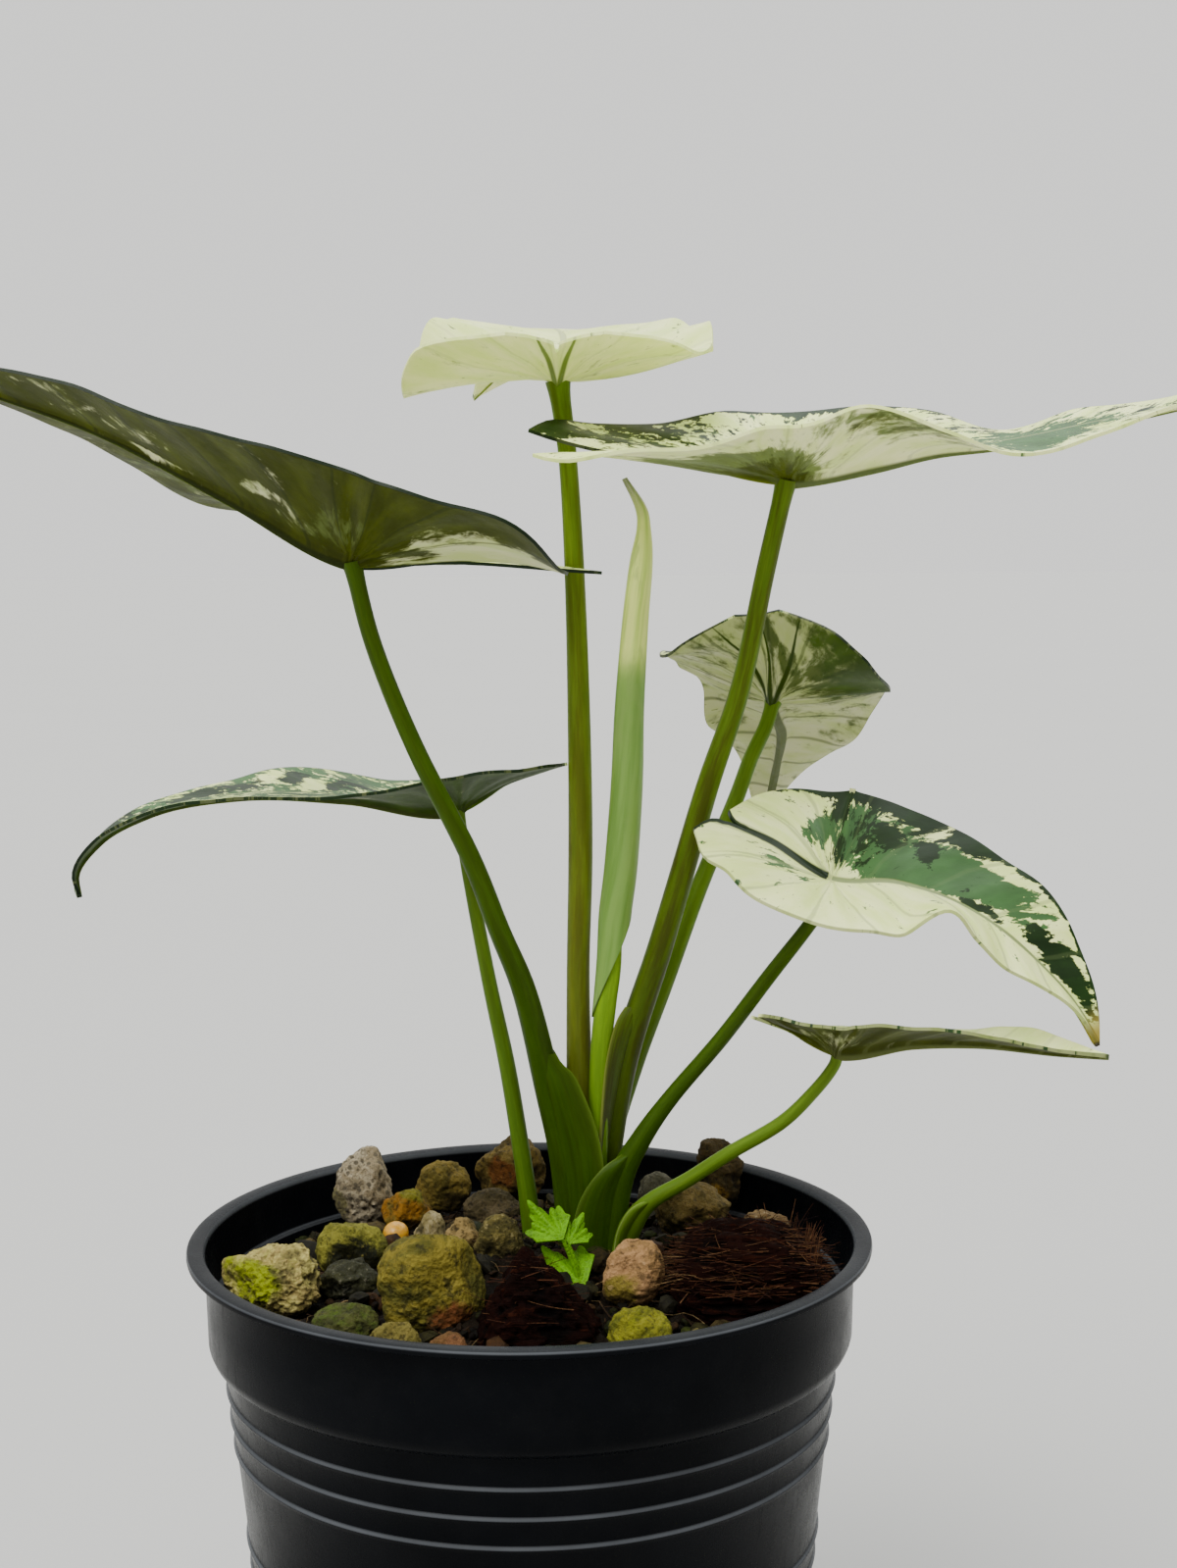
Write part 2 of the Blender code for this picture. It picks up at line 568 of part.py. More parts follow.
def tube(name, points, radii, collection, grow=0.0, resolution=2, section=None):
    """A tube along points, with filled ends. A section curve replaces its round section."""
    curve = bpy.data.curves.new(name, "CURVE")
    curve.dimensions = "3D"
    curve.use_fill_caps = True
    if section is None:
        curve.bevel_depth = MM
        curve.bevel_resolution = resolution
    else:
        curve.bevel_mode = "OBJECT"
        curve.bevel_object = section
    spline = curve.splines.new("POLY")
    spline.points.add(len(points) - 1)
    for target, point, radius in zip(spline.points, points, radii):
        target.co = (*(Vector(point) * MM), 1.0)
        target.radius = radius + grow
    return add_object(name, curve, collection)


def make_crown(name, collection, surface, grow=0.0):
    """The corm and the sheath bases of seven stems, grown together, as one closed mesh."""
    pieces = []
    for key, stem in STEMS.items():
        if key == "left":
            continue
        top = stem.sheath_top + grow
        points, radii = stem_points(stem, SHEATH_FOOT - grow, top, 7)
        base = tube(f"{name}_{key}", points, radii, collection, grow)
        pieces.append(as_mesh_object(base, f"{name}_{key}", collection))
    depth = CORM_TOP - CORM_BOTTOM + 2 * grow
    bm = bmesh.new()
    bmesh.ops.create_cone(bm, cap_ends=True, segments=16, depth=depth * MM,
                          radius1=(CORM_BOTTOM_RADIUS + grow) * MM,
                          radius2=(CORM_TOP_RADIUS + grow) * MM)
    place = Vector((*CROWN_CENTRE, (CORM_TOP + CORM_BOTTOM) / 2)) * MM
    bmesh.ops.translate(bm, verts=bm.verts, vec=place)
    crown = add_object(f"{name}_corm", mesh_from(bm, name), collection)
    for piece in pieces:
        union = crown.modifiers.new("join", "BOOLEAN")
        union.operation = "UNION"
        union.object = piece
    crown = as_mesh_object(crown, name, collection, surface)
    for piece in pieces:
        bpy.data.objects.remove(piece, do_unlink=True)
    return crown


def make_petioles(part, cutters, surface):
    """Each petiole stands on its sheath base and ends just under its blade."""
    for key, stem in STEMS.items():
        name = f"petiole_{key}"
        low = stem.sheath_top + (0 if key == "left" else CLEARANCE)
        points, radii = stem_points(stem, low, stem.path[-1][2], STEM_POINTS)
        petiole = tube(name, points, radii, part)
        petiole.data.materials.append(surface)
        if key == "left":
            hole_points, hole_radii = stem_points(stem, low - CLEARANCE, 96, 6)
            hole = tube("left_stem_hole", hole_points, hole_radii, cutters, CLEARANCE)
            hide_cutter(as_mesh_object(hole, "left_stem_hole", cutters))
        if key == "furled":
            continue
        petiole = as_mesh_object(petiole, name, part, surface)
        thickness = LEAF_THICKNESS + 2 * CLEARANCE
        guard = blade_object(f"guard_{key}", LEAVES[key], cutters.children["Blade guards"],
                             None, thickness, CLEARANCE)
        hide_cutter(guard)
        trim = petiole.modifiers.new("trim", "BOOLEAN")
        trim.operation = "DIFFERENCE"
        trim.object = guard
        petiole = as_mesh_object(petiole, name, part, surface)
        petiole.data.shade_smooth()


def make_blades(part):
    for key, leaf in LEAVES.items():
        surface = material(f"blade_{key}", BLADE_COLOURS[key], 0.42)
        blade = blade_object(f"blade_{key}", leaf, part, surface, LEAF_THICKNESS, 0.0)
        blade.data.shade_smooth()


def make_furled_blade(part, cutters):
    """The rolled blade: a slim tube whose section winds outwards to the overlapping edge."""
    section = bpy.data.curves.new("roll_section", "CURVE")
    section.dimensions = "2D"
    spline = section.splines.new("POLY")
    count = 10
    spline.points.add(count - 1)
    for step, point in enumerate(spline.points):
        angle = math.tau * step / count
        radius = (0.86 + 0.22 * step / (count - 1)) * MM
        point.co = (radius * math.cos(angle), radius * math.sin(angle), 0.0, 1.0)
    spline.use_cyclic_u = True
    guide = add_object("roll_section", section, cutters)
    hide_cutter(guide)
    places = np.arange(len(FURLED_PATH), dtype=float)
    chosen = np.linspace(0, places[-1], 19)
    points = smooth_curve(places, np.array(FURLED_PATH, float), chosen)
    radii = np.interp(chosen, places, FURLED_RADII)
    rolled = tube("blade_furled", points, radii, part, section=guide)
    rolled = as_mesh_object(rolled, "blade_furled", part,
                            material("blade_furled", FURLED_CREAM, 0.45))
    bm = bmesh.new()
    bm.from_mesh(rolled.data)
    bmesh.ops.recalc_face_normals(bm, faces=bm.faces)
    bm.to_mesh(rolled.data)
    bm.free()


def stone_mesh(name, half_sizes, turn, grow=0.0):
    """A rounded, chipped stone: a sphere with flats struck on it, stretched and turned."""
    chips = random.Random(name)
    bm = bmesh.new()
    bmesh.ops.create_icosphere(bm, subdivisions=STONE_SUBDIVISIONS, radius=1.0)
    flats = []
    for _ in range(STONE_FLATS):
        direction = Vector([chips.gauss(0, 1) for _ in range(3)]).normalized()
        flats.append((direction, chips.uniform(STONE_FLAT_DEPTH, 0.98)))
    for vertex in bm.verts:
        for direction, depth in flats:
            over = vertex.co.dot(direction) - depth
            if over > 0:
                vertex.co -= direction * over
        vertex.co *= 1 - 0.05 * chips.random()
    factor = 1 + grow / min(half_sizes)
    for vertex in bm.verts:
        vertex.co = Vector([c * h * factor * MM for c, h in zip(vertex.co, half_sizes)])
    bmesh.ops.rotate(bm, verts=bm.verts, matrix=Euler((0, 0, math.radians(turn))).to_matrix())
    return mesh_from(bm, name)


def make_stones(part, cutters):
    for name, (centre, half_sizes, turn, colour) in STONES.items():
        stone = add_object(name, stone_mesh(name, half_sizes, turn), part,
                           material(name, colour, 0.85))
        stone.location = Vector(centre) * MM
        pocket = add_object(f"pocket_{name}",
                            stone_mesh(name, half_sizes, turn, grow=1.3 * CLEARANCE), cutters)
        pocket.location = stone.location
        hide_cutter(pocket)


def husk_mesh(name, half_sizes, turn, grow=0.0):
    """A block of coconut husk: a rounded cube with fibre ridges along its length."""
    bm = bmesh.new()
    bmesh.ops.create_cube(bm, size=2.0)
    bmesh.ops.subdivide_edges(bm, edges=bm.edges, cuts=HUSK_CUTS, use_grid_fill=True)
    for vertex in bm.verts:
        reach = sum(abs(c) ** HUSK_SQUARENESS for c in vertex.co) ** (1 / HUSK_SQUARENESS)
        vertex.co /= reach
        x, y, z = vertex.co
        ridge = HUSK_RIDGE * math.sin(7 * y + 5 * z + 1.3 * math.sin(2.1 * x))
        wear = 0.06 * math.sin(3.1 * x + 2 * z) * math.cos(2.3 * y)
        size = [h * (1 + wear) + ridge * 0.6 + grow for h in half_sizes]
        vertex.co = Vector([c * s * MM for c, s in zip((x, y, z), size)])
    bmesh.ops.rotate(bm, verts=bm.verts, matrix=Euler((0, 0, math.radians(turn))).to_matrix())
    return mesh_from(bm, name)


def make_husks(part, cutters):
    surface = material("husk", HUSK_MAROON, 0.9)
    for name, (centre, half_sizes, turn) in HUSKS.items():
        husk = add_object(name, husk_mesh(name, half_sizes, turn), part, surface)
        husk.location = Vector(centre) * MM
        pocket = add_object(f"pocket_{name}",
                            husk_mesh(name, half_sizes, turn, grow=2.6 * CLEARANCE), cutters)
        pocket.location = husk.location
        hide_cutter(pocket)


def make_bead(part, cutters):
    """One round grain of slow-release fertiliser."""
    for name, grow, collection in (("fertiliser_bead", 0.0, part),
                                   ("pocket_bead", CLEARANCE, cutters)):
        bm = bmesh.new()
        bmesh.ops.create_uvsphere(bm, u_segments=8, v_segments=6,
                                  radius=(BEAD_RADIUS + grow) * MM)
        bead = add_object(name, mesh_from(bm, name), collection)
        bead.location = Vector(BEAD_CENTRE) * MM
        if collection is cutters:
            hide_cutter(bead)
        else:
            bead.data.materials.append(material("bead", BEAD_YELLOW, 0.35))
            bead.data.shade_smooth()


def seedling_leaf(name, junction, heading, tilt, length, collection):
    """A lobed leaflet: a flat outline whose edge swings in and out, with a wall."""
    outline = bpy.data.curves.new(name, "CURVE")
    outline.dimensions = "2D"
    outline.fill_mode = "BOTH"
    outline.extrude = SEEDLING_LEAF_THICKNESS / 2 * MM
    spline = outline.splines.new("POLY")
    count = 21
    spline.points.add(count - 1)
    for step, point in enumerate(spline.points):
        angle = math.tau * (step + 0.5) / count
        lobes = 0.74 + 0.26 * math.cos(7 * angle)
        reach = length / 2 * lobes
        along = length * 0.2 + reach * math.cos(angle)
        point.co = (along * MM, 0.85 * reach * math.sin(angle) * MM, 0.0, 1.0)
    spline.use_cyclic_u = True
    made = add_object(name, outline, collection)
    made.location = Vector(junction) * MM
    made.rotation_euler = Euler((math.radians(12), -math.radians(tilt), math.radians(heading)))
    return as_mesh_object(made, name, collection)


def make_seedling(part, cutters):
    """A small lobed-leaved seedling: three leaflets on thin stalks from one foot."""
    pieces = []
    foot = Vector(SEEDLING_FOOT)
    for number, (junction, heading, tilt, length) in enumerate(SEEDLING_LEAVES):
        turned_heading = math.radians(heading)
        inward = Vector((math.cos(turned_heading), math.sin(turned_heading), 0.3)) * 0.9
        top = Vector(junction) + inward
        points = [foot, foot + Vector((0, 0, 6.0)), Vector(junction), top]
        radii = [SEEDLING_STEM_RADIUS] * 4
        stalk = tube(f"stalk_{number}", points, radii, part, resolution=1)
        pieces.append(as_mesh_object(stalk, f"stalk_{number}", part))
        pieces.append(seedling_leaf(f"leaflet_{number}", junction, heading, tilt, length, part))
    first = pieces.pop(0)
    for piece in pieces:
        union = first.modifiers.new("join", "BOOLEAN")
        union.operation = "UNION"
        union.object = piece
    as_mesh_object(first, "seedling", part, material("seedling", SEEDLING_GREEN, 0.5))
    for piece in pieces:
        bpy.data.objects.remove(piece, do_unlink=True)
    hole = tube("seedling_hole", [foot - Vector((0, 0, CLEARANCE)), foot + Vector((0, 0, 7))],
                [SEEDLING_STEM_RADIUS + 2 * CLEARANCE] * 2, cutters)
    hide_cutter(as_mesh_object(hole, "seedling_hole", cutters))


def main():
    clear_scene()
    part = new_collection("Potted alocasia")
    cutters = new_collection("Cutters", hidden=True)
    guards = bpy.data.collections.new("Blade guards")
    cutters.children.link(guards)
    make_pot(part, cutters)
    stem_surface = material("petiole", STEM_GREEN, 0.4)
    make_crown("crown", part, material("crown", CROWN_GREEN, 0.45))
    hide_cutter(make_crown("crown_hole", cutters, None, 1.5 * CLEARANCE))
    make_petioles(part, cutters, stem_surface)
    make_blades(part)
    make_furled_blade(part, cutters)
    make_stones(part, cutters)
    make_husks(part, cutters)
    make_bead(part, cutters)
    make_seedling(part, cutters)
    for helper in [o for o in cutters.objects if o.name.startswith("roll")]:
        cutters.objects.unlink(helper)
        guards.objects.link(helper)
    cutters.children.unlink(guards)
    bpy.context.scene.collection.children.link(guards)
    guards.hide_render = True
    make_growing_mix(part, cutters)


main()
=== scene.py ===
"""Potted alocasia, dressed: a black nursery pot with mix, stones, husk and a variegated plant.

It runs as a script. It loads the frame, models each visible piece over it with Blender's own
tools, gives each its finish, and sets the stage, the lights and the camera. Lengths in the
tables are in millimetres; the origin is the middle of the pot's underside.
"""

import math
import random
from dataclasses import dataclass

import bpy
import numpy as np
from mathutils import Matrix, Vector, noise


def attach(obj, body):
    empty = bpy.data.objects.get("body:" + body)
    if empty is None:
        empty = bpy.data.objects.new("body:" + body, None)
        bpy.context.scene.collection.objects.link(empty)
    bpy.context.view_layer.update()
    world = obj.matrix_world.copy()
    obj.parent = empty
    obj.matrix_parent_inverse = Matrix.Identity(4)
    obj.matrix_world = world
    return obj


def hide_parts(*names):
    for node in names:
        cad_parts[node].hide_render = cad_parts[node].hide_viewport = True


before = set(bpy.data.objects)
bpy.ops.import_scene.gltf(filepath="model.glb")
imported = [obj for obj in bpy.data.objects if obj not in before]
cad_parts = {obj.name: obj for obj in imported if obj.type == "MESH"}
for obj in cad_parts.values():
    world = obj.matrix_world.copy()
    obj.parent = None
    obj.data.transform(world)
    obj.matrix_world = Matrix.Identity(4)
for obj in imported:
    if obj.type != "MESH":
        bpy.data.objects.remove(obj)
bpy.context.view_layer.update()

bl_info = {
    "name": "Potted Alocasia",
    "version": (1, 0, 0),
    "blender": (4, 5, 0),
    "location": "View3D > Sidebar > Alocasia",
    "description": "Models and finishes a variegated alocasia in a nursery pot",
    "category": "Object",
}

MM = 0.001
UV_UNIT = 10.0

POT_HEIGHT, RIM_RADIUS, RIM_WIDTH, RIM_THICKNESS = 95.0, 55.0, 3.0, 1.3
SKIRT_RADIUS, SKIRT_DEPTH, BASE_RADIUS, BODY_TOP_RADIUS = 52.1, 15.5, 41.0, 49.6
POT_WALL, POT_FLOOR = 1.0, 1.5
RIB_DEPTHS = (22.4, 27.0, 31.5, 47.0, 51.5, 56.0, 60.5)
RIB_HEIGHT, RIB_STEP = 0.9, 0.4
DRAIN_HOLES, DRAIN_RADIUS, DRAIN_CIRCLE = 6, 3.5, 29.0
MIX_EDGE_HEIGHT, MIX_CROWN_RISE, MIX_RISE_RADIUS = 86.5, 4.5, 28.0
MIX_EDGE_DROP, MIX_BOTTOM = 2.4, 2.6
MIX_RADIUS, MIX_SHOULDER_RADIUS, MIX_FOOT_RADIUS = 49.0, 48.2, 39.3
MIX_SHOULDER_DROP, MIX_FOOT_DROP = 7.5, 74.0
GRAIN_LIMIT, FIBRE_LIMIT = 48.6, 47.5
CROWN_CENTRE, CROWN_RADIUS = (10.3, 7.0), 7.5
# The floor and the camera: sizes and places in metres, pitch and roll in degrees
FLOOR_SIZE, FLOOR_DROP = 400, 0.0002
CAMERA_PLACE, CAMERA_PITCH, CAMERA_ROLL = (0.00992, -0.3413, 0.2011), 5.592, 0.417
CAMERA_LENS, CAMERA_SENSOR = 49.53, 36.0

# A blade's outline: half widths, as shares of the widest, at places from its back to its tip
OUTLINE_PLACES = (0, 0.03, 0.1, 0.2, 0.31, 0.45, 0.6, 0.74, 0.86, 0.94, 1.0)
OUTLINE_WIDTHS = (0.3, 0.62, 0.89, 0.985, 1.0, 0.93, 0.76, 0.53, 0.29, 0.13, 0.0)
SLIT_HALF_WIDTH, RIB_THICKENING = 0.35, 4
STATIONS = 78
FRAME_SPAN = 21
COLUMN_PLACES = (0, 0.02, 0.05, 0.09, 0.15, 0.22, 0.3, 0.39, 0.48, 0.57, 0.66, 0.75, 0.83,
                 0.9, 0.955, 0.982, 1.0)


@dataclass
class Leaf:
    """A blade: its middle line, its halves' angles, and where each colour grows.

    The rises and bows are degrees at even places from the back of the lobes to the tip: how
    far each half lifts, and how much further it curls towards its margin. A patch is (place
    along the blade, place across it, reach along, reach across, colour, strength). Across runs
    from -1 at the left margin to 1 at the right one. The colours are d for dark green, s for
    sea green, f for flecks and c for clear cream. Pairs give the left half first; lines and
    middle, how strongly veins and midrib show, give the upper face first.
    """

    path: tuple
    half_width: float
    rise_left: tuple
    rise_right: tuple
    bow_left: tuple = (0, 0)
    bow_right: tuple = (0, 0)
    lobe_spread: float = 0.3
    slit_power: float = 2.4
    junction: int = 2
    vein_gap: float = 12.0
    top: tuple = (0.2, 0.3, 0.4)
    under: tuple = (0.2, 0.3, 0.4)
    top_patches: tuple = ()
    under_patches: tuple = ()
    rib_top: tuple = (0.2, 0.26, 0.1)
    rib_under: tuple = (0.16, 0.2, 0.06)
    lobe_rib: float = 0.5
    rib_lean: float = 28.0
    closed: float = 0.0
    rear_scale: tuple = (1.0, 1.0)
    lobe_full: tuple = (0.0, 0.0)
    ripple: tuple = (0.0, 16.0, 0.0, 0.0)
    margin: float = 0.7
    margin_sides: tuple = (1, 1)
    # How much lighter or darker this blade's underside cream and sea green are painted: painted
    # light, for how much light reaches the underside
    pale: float = 1.0
    # Width of the dark band along the slit between the lobes, which is partly painted shade of the
    # slit
    sinus: float = 0.0
    lines: tuple = (0.22, 0.6)
    middle: tuple = (1.0, 1.0)
    depth_under: tuple = (1.0, 1.0, 1.0)
    dry_tip: float = 0.0


@dataclass
class Stem:
    """A petiole: points up its middle, its radius at each, and how it is coloured."""

    path: tuple
    radii: tuple
    low_tone: tuple
    high_tone: tuple
    mottle: float = 0.3


@dataclass
class Stone:
    """A stone: its place, half sizes and turn, its three colours, and its surface.

    A lump is (direction, reach, push in millimetres); the stain is (direction, reach, colour).
    """

    centre: tuple
    half_sizes: tuple
    turn: float
    colours: tuple
    relief: float = 0.35
    pits: float = 0.0
    moss: float = 0.0
    grain: float = 1.0
    specks: float = 0.3
    gloss: float = 0.0
    detail: int = 5
    lumps: tuple = ()
    stain: tuple = ()


LEAVES = {
    "upper_left": Leaf(
        path=((9, -7, 201.5), (-8.5, -9, 203), (-26, -10, 203.5), (-43.5, -12, 213),
              (-63.5, -14, 223.5), (-80, -16, 229.5), (-96.5, -16, 235.5)),
        half_width=25, rear_scale=(0.92, 1.12), lobe_full=(4.0, -1.5),
        rise_left=(-4, 12, 20, 27, 28, 23, 18, 14, 17, 19, 21, 22),
        rise_right=(1, 2, 1, 1, 0, 0, -9, -9, -7, -7, -8, -9),
        top=(0.75, 0.5, 0.0), under=(1.05, 0.3, 0.0),
        top_patches=((0.12, -0.4, 0.14, 0.5, "c", 0.8), (0.45, 0.5, 0.12, 0.4, "c", 0.5),
            (0.7, -0.4, 0.12, 0.4, "c", 0.35), (0.1, 0.5, 0.12, 0.5, "c", 0.4)),
        under_patches=((0.12, -0.2, 0.135, 0.33, "c", 1.6), (0.25, -0.33, 0.03, 0.16, "d", 1.1),
            (0.2, -0.14, 0.035, 0.08, "d", 1.1), (0.15, -0.9, 0.14, 0.2, "d", 0.3),
            (0.17, -0.38, 0.05, 0.12, "d", 0.6), (0.29, -0.15, 0.02, 0.1, "d", 0.7),
            (0.34, -0.4, 0.04, 0.25, "d", -0.5), (0.33, -0.4, 0.08, 0.4, "s", 1.0),
            (0.45, -0.36, 0.035, 0.1, "c", 0.75), (0.39, -0.2, 0.05, 0.12, "d", -0.4),
            (0.6, -0.08, 0.035, 0.05, "c", 1.1), (0.66, -0.4, 0.07, 0.25, "c", 0.35),
            (0.77, -0.8, 0.05, 0.15, "c", 0.4), (0.2, -0.22, 0.06, 0.12, "s", 0.9),
            (0.52, 0.7, 0.22, 0.5, "c", 0.42), (0.52, 0.7, 0.24, 0.6, "s", 0.9),
            (0.07, 0.5, 0.12, 0.7, "c", 0.6), (0.07, 0.5, 0.12, 0.7, "s", 0.6)),
        rib_top=(0.1, 0.15, 0.06), rib_under=(0.022, 0.03, 0.003), margin=1.0, pale=0.8),
    "top": Leaf(
        path=((5.5, -9, 237.5), (5.5, 0, 235), (5.5, 8, 232), (6, 19, 237),
              (6, 31, 241.5), (3.5, 42, 243.5), (-2.5, 54, 240.5), (-11, 62, 233.5)),
        half_width=25.3, lobe_full=(1.5, 0),
        rise_left=(0, -3, 2, 12, 12, 4, 2, 0, 0, 0, 0, 0),
        rise_right=(0, -2, -2, 1, 5, 3, 3, 0, 0, 0, 0, 0),
        bow_left=(0, -5, -15, -42, -42, -5, 15, 10, 0, 0, 0, 0),
        bow_right=(0, 8, 20, 22, 8, 5, 8, 5, 0, 0, 0, 0),
        slit_power=3, closed=0.62, rib_lean=10, ripple=(1.5, 17.0, 0.4, 2.6),
        top=(-0.1, 0.06, 0.0), under=(-0.1, 0.08, 0.0),
        top_patches=((0.35, 0.4, 0.1, 0.3, "s", 0.3), (0.7, -0.3, 0.1, 0.3, "s", 0.3)),
        rib_top=(0.5, 0.56, 0.25), rib_under=(0.16, 0.22, 0.03), lobe_rib=1.0, margin=0.0,
        pale=1.12, lines=(0.3, 0.16)),
    "upper_right": Leaf(
        path=((1.5, -13, 220.5), (19.5, -11, 218), (40.5, -9, 215.5), (53.5, -10, 217.5),
              (62.5, -11, 219.5), (72.5, -12, 220.5), (85.5, -14, 223), (98, -16, 225.5),
              (116, -19, 229.5)),
        half_width=23.7,
        rise_left=(22, 17, 19, 28, 28, 27, 20, 8, 14, 12, 18, 20),
        rise_right=(-15, -2, 3, 14, 16, 19, 3, -11, -11, -4, 6, 8),
        top=(0.18, 0.12, 0.0), under=(-0.05, 0.05, 0.0),
        top_patches=((0.02, -0.6, 0.04, 0.8, "d", 0.7), (0.14, -0.65, 0.14, 0.55, "d", 0.46),
            (0.25, -1.0, 0.3, 0.045, "d", 0.7), (0.44, -0.97, 0.1, 0.12, "d", 0.5),
            (0.66, 0.2, 0.1, 0.9, "c", 0.2), (0.82, 0.0, 0.16, 0.9, "d", 0.2),
            (0.66, 0.2, 0.09, 0.9, "s", 1.1), (0.6, -0.6, 0.05, 0.3, "d", 0.3),
            (0.82, 0.0, 0.1, 0.8, "s", 0.3), (0.35, 1.0, 0.55, 0.1, "c", 0.35)),
        under_patches=((0.32, 0.15, 0.045, 0.34, "d", 1.0), (0.32, 0.2, 0.06, 0.42, "s", 1.0),
            (0.23, 0.2, 0.1, 0.34, "s", 1.4), (0.24, 0.12, 0.08, 0.2, "d", 0.55),
            (0.48, 0.85, 0.09, 0.3, "d", 0.55), (0.48, 0.85, 0.12, 0.35, "s", 0.5),
            (0.85, 0.2, 0.12, 0.9, "d", 0.4)),
        rib_top=(0.24, 0.3, 0.12), rib_under=(0.1, 0.13, 0.04), margin=0.95, pale=1.02,
        margin_sides=(1, 0), lines=(0.22, 0.2), depth_under=(1.2, 1.25, 1.2)),
    "back": Leaf(
        path=((39, 28, 195), (41.5, 33, 187), (42.5, 38, 178.5), (45, 48, 172.5),
              (45, 57, 166.5), (44.5, 65, 160), (43, 70, 152)),
        half_width=20.5,
        rise_left=(-30, -20, 9, 26, 27, 32, 35, 27, 39, 51, 58, 65),
        rise_right=(-7, -12, -13, 1, 16, 19, 18, 12, 19, 30, 41, 48),
        lobe_spread=0.2, slit_power=3, closed=0.85, rib_lean=24, vein_gap=9.0,
        top=(0.35, 0.4, 0.2), under=(0.1, 0.3, 0.0),
        under_patches=((0.15, 0.75, 0.2, 0.5, "d", 0.5), (0.32, 0.85, 0.16, 0.35, "d", 0.34),
            (0.18, 0.95, 0.2, 0.25, "d", 0.15), (0.2, 0.6, 0.2, 0.4, "s", 0.5),
            (0.1, -0.6, 0.1, 0.5, "d", 0.25), (0.08, 0.32, 0.06, 0.14, "c", 1.2),
            (0.08, 0.14, 0.08, 0.12, "s", 0.8), (0.1, 0.12, 0.1, 0.03, "d", 0.8),
            (0.7, 0.0, 0.3, 0.8, "c", 0.2)),
        rib_top=(0.16, 0.22, 0.08), rib_under=(0.03, 0.052, 0.003), lobe_rib=1.0, margin=0.9,
        pale=0.66, sinus=0.35, lines=(0.22, 0.55), middle=(1.0, 0.85),
        depth_under=(0.95, 1.35, 3.0)),
    "lower_right": Leaf(
        path=((28.5, -4, 163.5), (38.5, -5, 159), (48, -6, 153), (58, -6.5, 152.5),
              (70, -8, 148), (80.5, -10, 139.5), (86, -11, 133), (89, -12, 127.5)),
        half_width=18.5,
        rise_left=(12, 21, 33, 46, 44, 37, 37, 40, 56, 61, 65, 72),
        rise_right=(-33, -21, -21, -15, -15, -18, 2, -7, -15, -10, 1, 16),
        lobe_spread=0.26, slit_power=3, closed=0.8, rear_scale=(0.86, 1.04),
        lobe_full=(1.0, -1.5), vein_gap=10.0,
        top=(-0.05, 0.06, 0.0), under=(0.15, 0.25, 0.1),
        top_patches=((0.22, -0.47, 0.04, 0.18, "s", 1.1), (0.26, -0.72, 0.04, 0.16, "d", 0.75),
            (0.3, -0.29, 0.02, 0.17, "d", 1.1), (0.37, -0.5, 0.035, 0.4, "d", 0.55),
            (0.33, -0.55, 0.15, 0.38, "d", 0.16), (0.47, -0.62, 0.08, 0.3, "d", 0.16),
            (0.25, -0.8, 0.06, 0.22, "d", 0.45), (0.33, -0.6, 0.09, 0.35, "s", 0.65),
            (0.17, -1.0, 0.07, 0.06, "d", 0.9), (0.6, -0.07, 0.03, 0.07, "d", 1.1),
            (0.42, -0.56, 0.03, 0.14, "d", 1.0), (0.49, -0.5, 0.02, 0.14, "d", 1.0),
            (0.33, -0.97, 0.2, 0.1, "d", 1.0), (0.47, -0.88, 0.05, 0.15, "d", 0.8),
            (0.56, -0.85, 0.045, 0.17, "d", 0.95), (0.44, -0.15, 0.08, 0.16, "s", 1.2),
            (0.52, -0.3, 0.08, 0.2, "s", 1.0), (0.6, -0.42, 0.1, 0.25, "s", 1.25),
            (0.4, -0.5, 0.12, 0.4, "s", 0.45), (0.655, -0.12, 0.03, 0.1, "d", 1.0),
            (0.76, -0.28, 0.045, 0.2, "d", 1.05), (0.84, -0.4, 0.06, 0.35, "d", 1.1),
            (0.78, -1.0, 0.25, 0.09, "d", 1.0), (0.92, -0.6, 0.05, 0.5, "d", 0.7),
            (0.72, -0.6, 0.1, 0.3, "s", 0.4), (0.17, 0.27, 0.06, 0.14, "s", 0.5)),
        rib_top=(0.22, 0.28, 0.11), rib_under=(0.16, 0.2, 0.06), margin=0.35, sinus=1.35,
        dry_tip=1.0, lines=(0.45, 0.6)),
    "small": Leaf(
        path=((35.5, -10, 132), (41, -10, 130), (48.5, -10, 127), (60, -11, 128.5),
              (70.5, -12, 128.5), (82.5, -13, 127), (90, -14, 126.5)),
        half_width=12,
        rise_left=(-9, -6, 1, 5, 1, -4, -3, -1, 11, 27, 26, 19),
        rise_right=(20, 18, 24, 29, 28, 22, 21, 18, 16, 15, 14, 13),
        vein_gap=7.0,
        top=(-0.1, 0.3, 0.0), under=(0.8, 0.6, 0.0),
        top_patches=((0.78, -0.6, 0.18, 0.5, "c", 0.7), (0.3, 0.5, 0.3, 0.4, "d", 0.5)),
        under_patches=((0.24, 0.5, 0.09, 0.4, "c", 0.25), (0.65, 0.6, 0.3, 0.6, "d", 0.4)),
        rib_top=(0.16, 0.22, 0.08), rib_under=(0.1, 0.12, 0.03), pale=0.7),
    "left": Leaf(
        path=((6, 20, 169), (-3, 19, 166.5), (-12, 18, 162.5), (-30.5, 17, 164.5),
              (-48.5, 16, 165), (-63.5, 15, 162), (-71.5, 14, 157.5), (-75.5, 13, 151.5),
              (-75, 13, 148)),
        half_width=20,
        rise_left=(9, 11, 19, 18, 9, 4, 3, 3, 4, 5, 12, 20),
        rise_right=(-3, -1, 7, 8, 4, 7, 9, 5, 4, 6, 0, -10),
        top=(0.05, 0.62, 0.0), under=(1.05, 0.5, 0.0),
